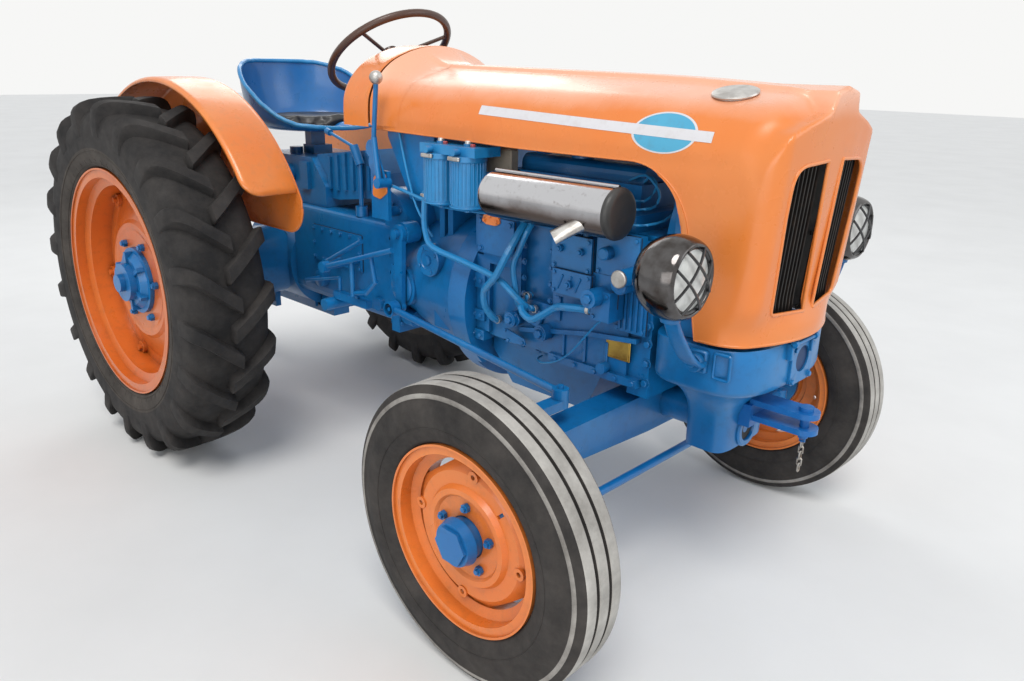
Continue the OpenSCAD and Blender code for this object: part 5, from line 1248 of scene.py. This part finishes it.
# Right side of the engine: places, radius, height, washer
for places, r, h, washer in (
        (spread((1181, 1208), -222, (756, 656, 598)), 6.5, 4, 1.5),
        (spread((1207, 1318), -222, (850, 926)), 7, 5, 1.5),
        (spread((1671, 1744), -208, (730, 851)), 6.5, 5, 1.2),
        (spread((1480, 1545, 1610, 1675, 1728), -210, (596,)), 6.5, 5, 1.2),
        (spread((1500, 1606), -252, (861, 931)), 5.5, 4, 1),
        (spread((1511, 1616), -262, (801, 846)), 4.5, 3.5, 0.8),
        (spread((1631, 1736), -242, (867, 953)), 5.5, 4, 1),
        ([(1643, -270, 762), (1681, -270, 817)], 5, 4, 0),
        ([(1338, -240, 676)], 11, 8, 2),
        ([(1440, -232, 660)], 12, 9, 2),
        ([(1650, -303, 811)], 12, 7, 0),
        ([(1560, -272, 822), (1520, -262, 905), (1585, -262, 905)], 6, 5, 0),
        (spread((1352, 1446), -200, range(745, 922, 44)), 6, 5, 1),
        (spread(range(1250, 1700, 70), -200, (990,)), 7, 6, 1.2)):
    b.hexes(places, RIGHT, r, h, washer=washer)
b.hexes(spread(range(1250, 1700, 70), 200, (990,)), LEFT, 7, 6, washer=1.2)
b.hexes(spread((1342, 1488), 216, (772, 888)), LEFT, 6.5, 5, washer=1.2)
b.hexes([(760 + 60 * math.cos(t), -175, 850 + 60 * math.sin(t)) for t in (0.1, 0.8, 1.5)], RIGHT, 7, 5, washer=1)
b.hexes([(800, -200, 640), (800, -200, 700), (860, -200, 640), (860, -200, 690)], RIGHT, 6.5, 5)
bolts = b.make("casting_bolts", [blue], "chassis", 30)

# ---------------------------------------------------------------- covers, plates and fittings on the right side
b = Build()


def disc(x, z, y0, steps, n=40):
    """A turned cover on the right side: steps lists (radius, how far out)."""
    b.lathe(steps, turned((x, y0, z), 90, "X"), n)


disc(994, 778, -226, [(48, -20), (48, 6), (45, 9), (30, 9), (28, 6), (16, 6), (14, 12), (0.01, 13)])
disc(830, 660, -200, [(50, -4), (50, 3), (47, 5), (22, 6), (20, 12), (0.01, 13)])
disc(340, 590, -181, [(30, -2), (30, 3), (27, 5), (0.01, 6)])
disc(1400, 690, -200, [(26, -2), (26, 6), (22, 9), (0.01, 9)])
disc(1708, 850, -262, [(22, -2), (22, 3), (19, 6), (9, 7), (8, 12), (0.01, 12)])
disc(1660, 915, -262, [(15, -2), (15, 4), (12, 7), (0.01, 7)])
b.hexes([(994 + 38 * math.cos(t), -235, 778 + 38 * math.sin(t)) for t in (0.5, 2.1, 3.7, 5.2)], RIGHT, 5.5, 4)
# Lobed lever and the three-cornered bracket below it
lobes = rounded([(1305, 668), (1352, 655), (1366, 676), (1352, 697), (1318, 694)], 14, 5)
b.prism(lobes, side_plane(-222), 7, 1.2)
tri = rounded([(1302, 646), (1322, 606), (1388, 610), (1380, 628)], 9, 5)
b.prism(tri, side_plane(-222), 5, 1)
b.hexes([(1311, -227, 639), (1376, -227, 617), (1322, -227, 612)], RIGHT, 5, 4)
b.hexes([(1318, -229, 684), (1350, -229, 668), (1350, -229, 688)], RIGHT, 5, 4, washer=1)
# Casting webs between the ledge and the pan
for x in (1500, 1570, 1640):
    b.box(x - 4, x + 4, -206, -196, 608, 680, 0, 1.5)
for z in (760, 800, 840, 880):
    b.box(1468, 1484, -209, -204, z, z + 6, 0, 1)
# Core plugs and bosses of the block
for x in (1240, 1290, 1520, 1600):
    disc(x, 970, -200, [(17, -1), (17, 2), (14, 3), (13, 1), (0.01, 1)], 28)
fit = b.make("engine_fittings", [blue], "chassis", 35, fix=True)

# Dark joints round the pump's covers and the engine's plates
b = Build()


for x0, x1, z0, z1, y in (
        (1491, 1615, 852, 940, -245), (1503, 1624, 793, 854, -255), (1622, 1745, 858, 962, -236),
        (1500, 1690, 780, 860, -238), (1195, 1330, 838, 938, -215), (1662, 1753, 721, 860, -204),
        (280, 570, 650, 775, -156), (280, 570, 650, 775, 156)):
    b.border(x0, x1, z0, z1, y)
for s in (-1, 1):
    b.tube([(1188, s * 175, 601.5), (1440, s * 175.6, 601.5), (1698, s * 175, 601.5)], 1.4, 6)
joints = b.make("gasket_lines", [gasket], "chassis", 60)

# Blank brass plate
b = Build()
b.box(1636, 1710, -203, -199, 643, 696, 0, 1.2)
b.border(1641, 1705, 648, 691, -203.2, 0.9, 3)
b.hexes(spread((1640.5, 1705.5), -203, (647.5, 691.5)), RIGHT, 2.2, 1.2)
plate = b.make("blank_plate", [brass], "chassis", 30)

# Orange brackets: on the tower of the engine and by the hand lever
b = Build()
b.prism(rounded([(1214, 926), (1232, 918), (1266, 918), (1284, 926), (1276, 944), (1249, 954), (1222, 944)],
                8, 4), side_plane(-222), 6, 1)
b.hexes([(1226, -228, 930), (1272, -228, 930), (1249, -228, 944)], RIGHT, 5, 4, washer=1)
b.prism(rounded([(781, 945), (818, 938), (852, 960), (846, 1012), (815, 1024), (790, 1000)], 12, 4),
        side_plane(-262), 4, 0.8)
ob = b.make("orange_brackets", [orange], "chassis", 35)

# Filters: fluted canisters, bright clamps and red bleed caps
FILTERS_X, FILTERS_Y = (1083, 1190), -255
b = Build()
for x in FILTERS_X:
    for c, s in circle(1, 28):
        b.tube([(x + r * c, FILTERS_Y + r * s, z) for r, z in ((47, 972), (47.2, 1082))], 2.0, 6)
    for z in (1084, 964):
        b.tube([(*p, z) for p in circle(48, 48, 0, x, FILTERS_Y)], 2.4, 8, closed=True)
flutes = b.make("filter_flutes", [light_blue], "chassis", 50)
b = Build()
for x in FILTERS_X:
    b.box(x - 22, x + 22, -311, -303, 1086, 1097, 0, 2)
    b.lathe([(9, 0), (9, 12), (7, 14), (0.01, 14)], Matrix.Translation((x, FILTERS_Y, 1122)), 20)
b.lathe([(20.6, 0), (20.6, 5), (18, 7), (0.01, 7.5)], turned((1737, -302, 876), 90, "X"), 32)
# Hose clamps: place, direction of the hose, radius
for place, along, r in (((1022, -262, 975), (0, 0, 1), 10.2), ((1404, -214, 716), LEFT, 10.2),
                        ((1377, -214, 958), LEFT, 11.2), ((1271, -216, 657), LEFT, 11.2),
                        ((1386, -222, 749), LEFT, 11.2), ((1624, -263, 771), FRONT, 11.2)):
    m = Matrix.Translation(place) @ Vector(along).to_track_quat("Z", "Y").to_matrix().to_4x4()
    b.lathe([(r - 2, -5), (r, -4.5), (r, 4.5), (r - 2, 5)], m, 20)
    b.hexes([m @ Vector((r + 2, 0, 0))], m.to_3x3() @ Vector((0, 1, 0)), 4, 6)
clips = b.make("clips_and_caps", [dull_alloy], "chassis", 35)
b = Build()
for x in FILTERS_X:
    b.lathe([(7, 0), (7, 6), (5, 8), (0.01, 8)], Matrix.Translation((x + 25, -262, 1121)), 16)
red = b.make("bleed_caps", [red_cap], "chassis", 35)

# Shroud behind the filters
b = Build()
b.box(1150, 1262, -168, -136, 1046, 1114, 0, 4)
shroud = b.make("pale_shroud", [beige], "chassis", 35)
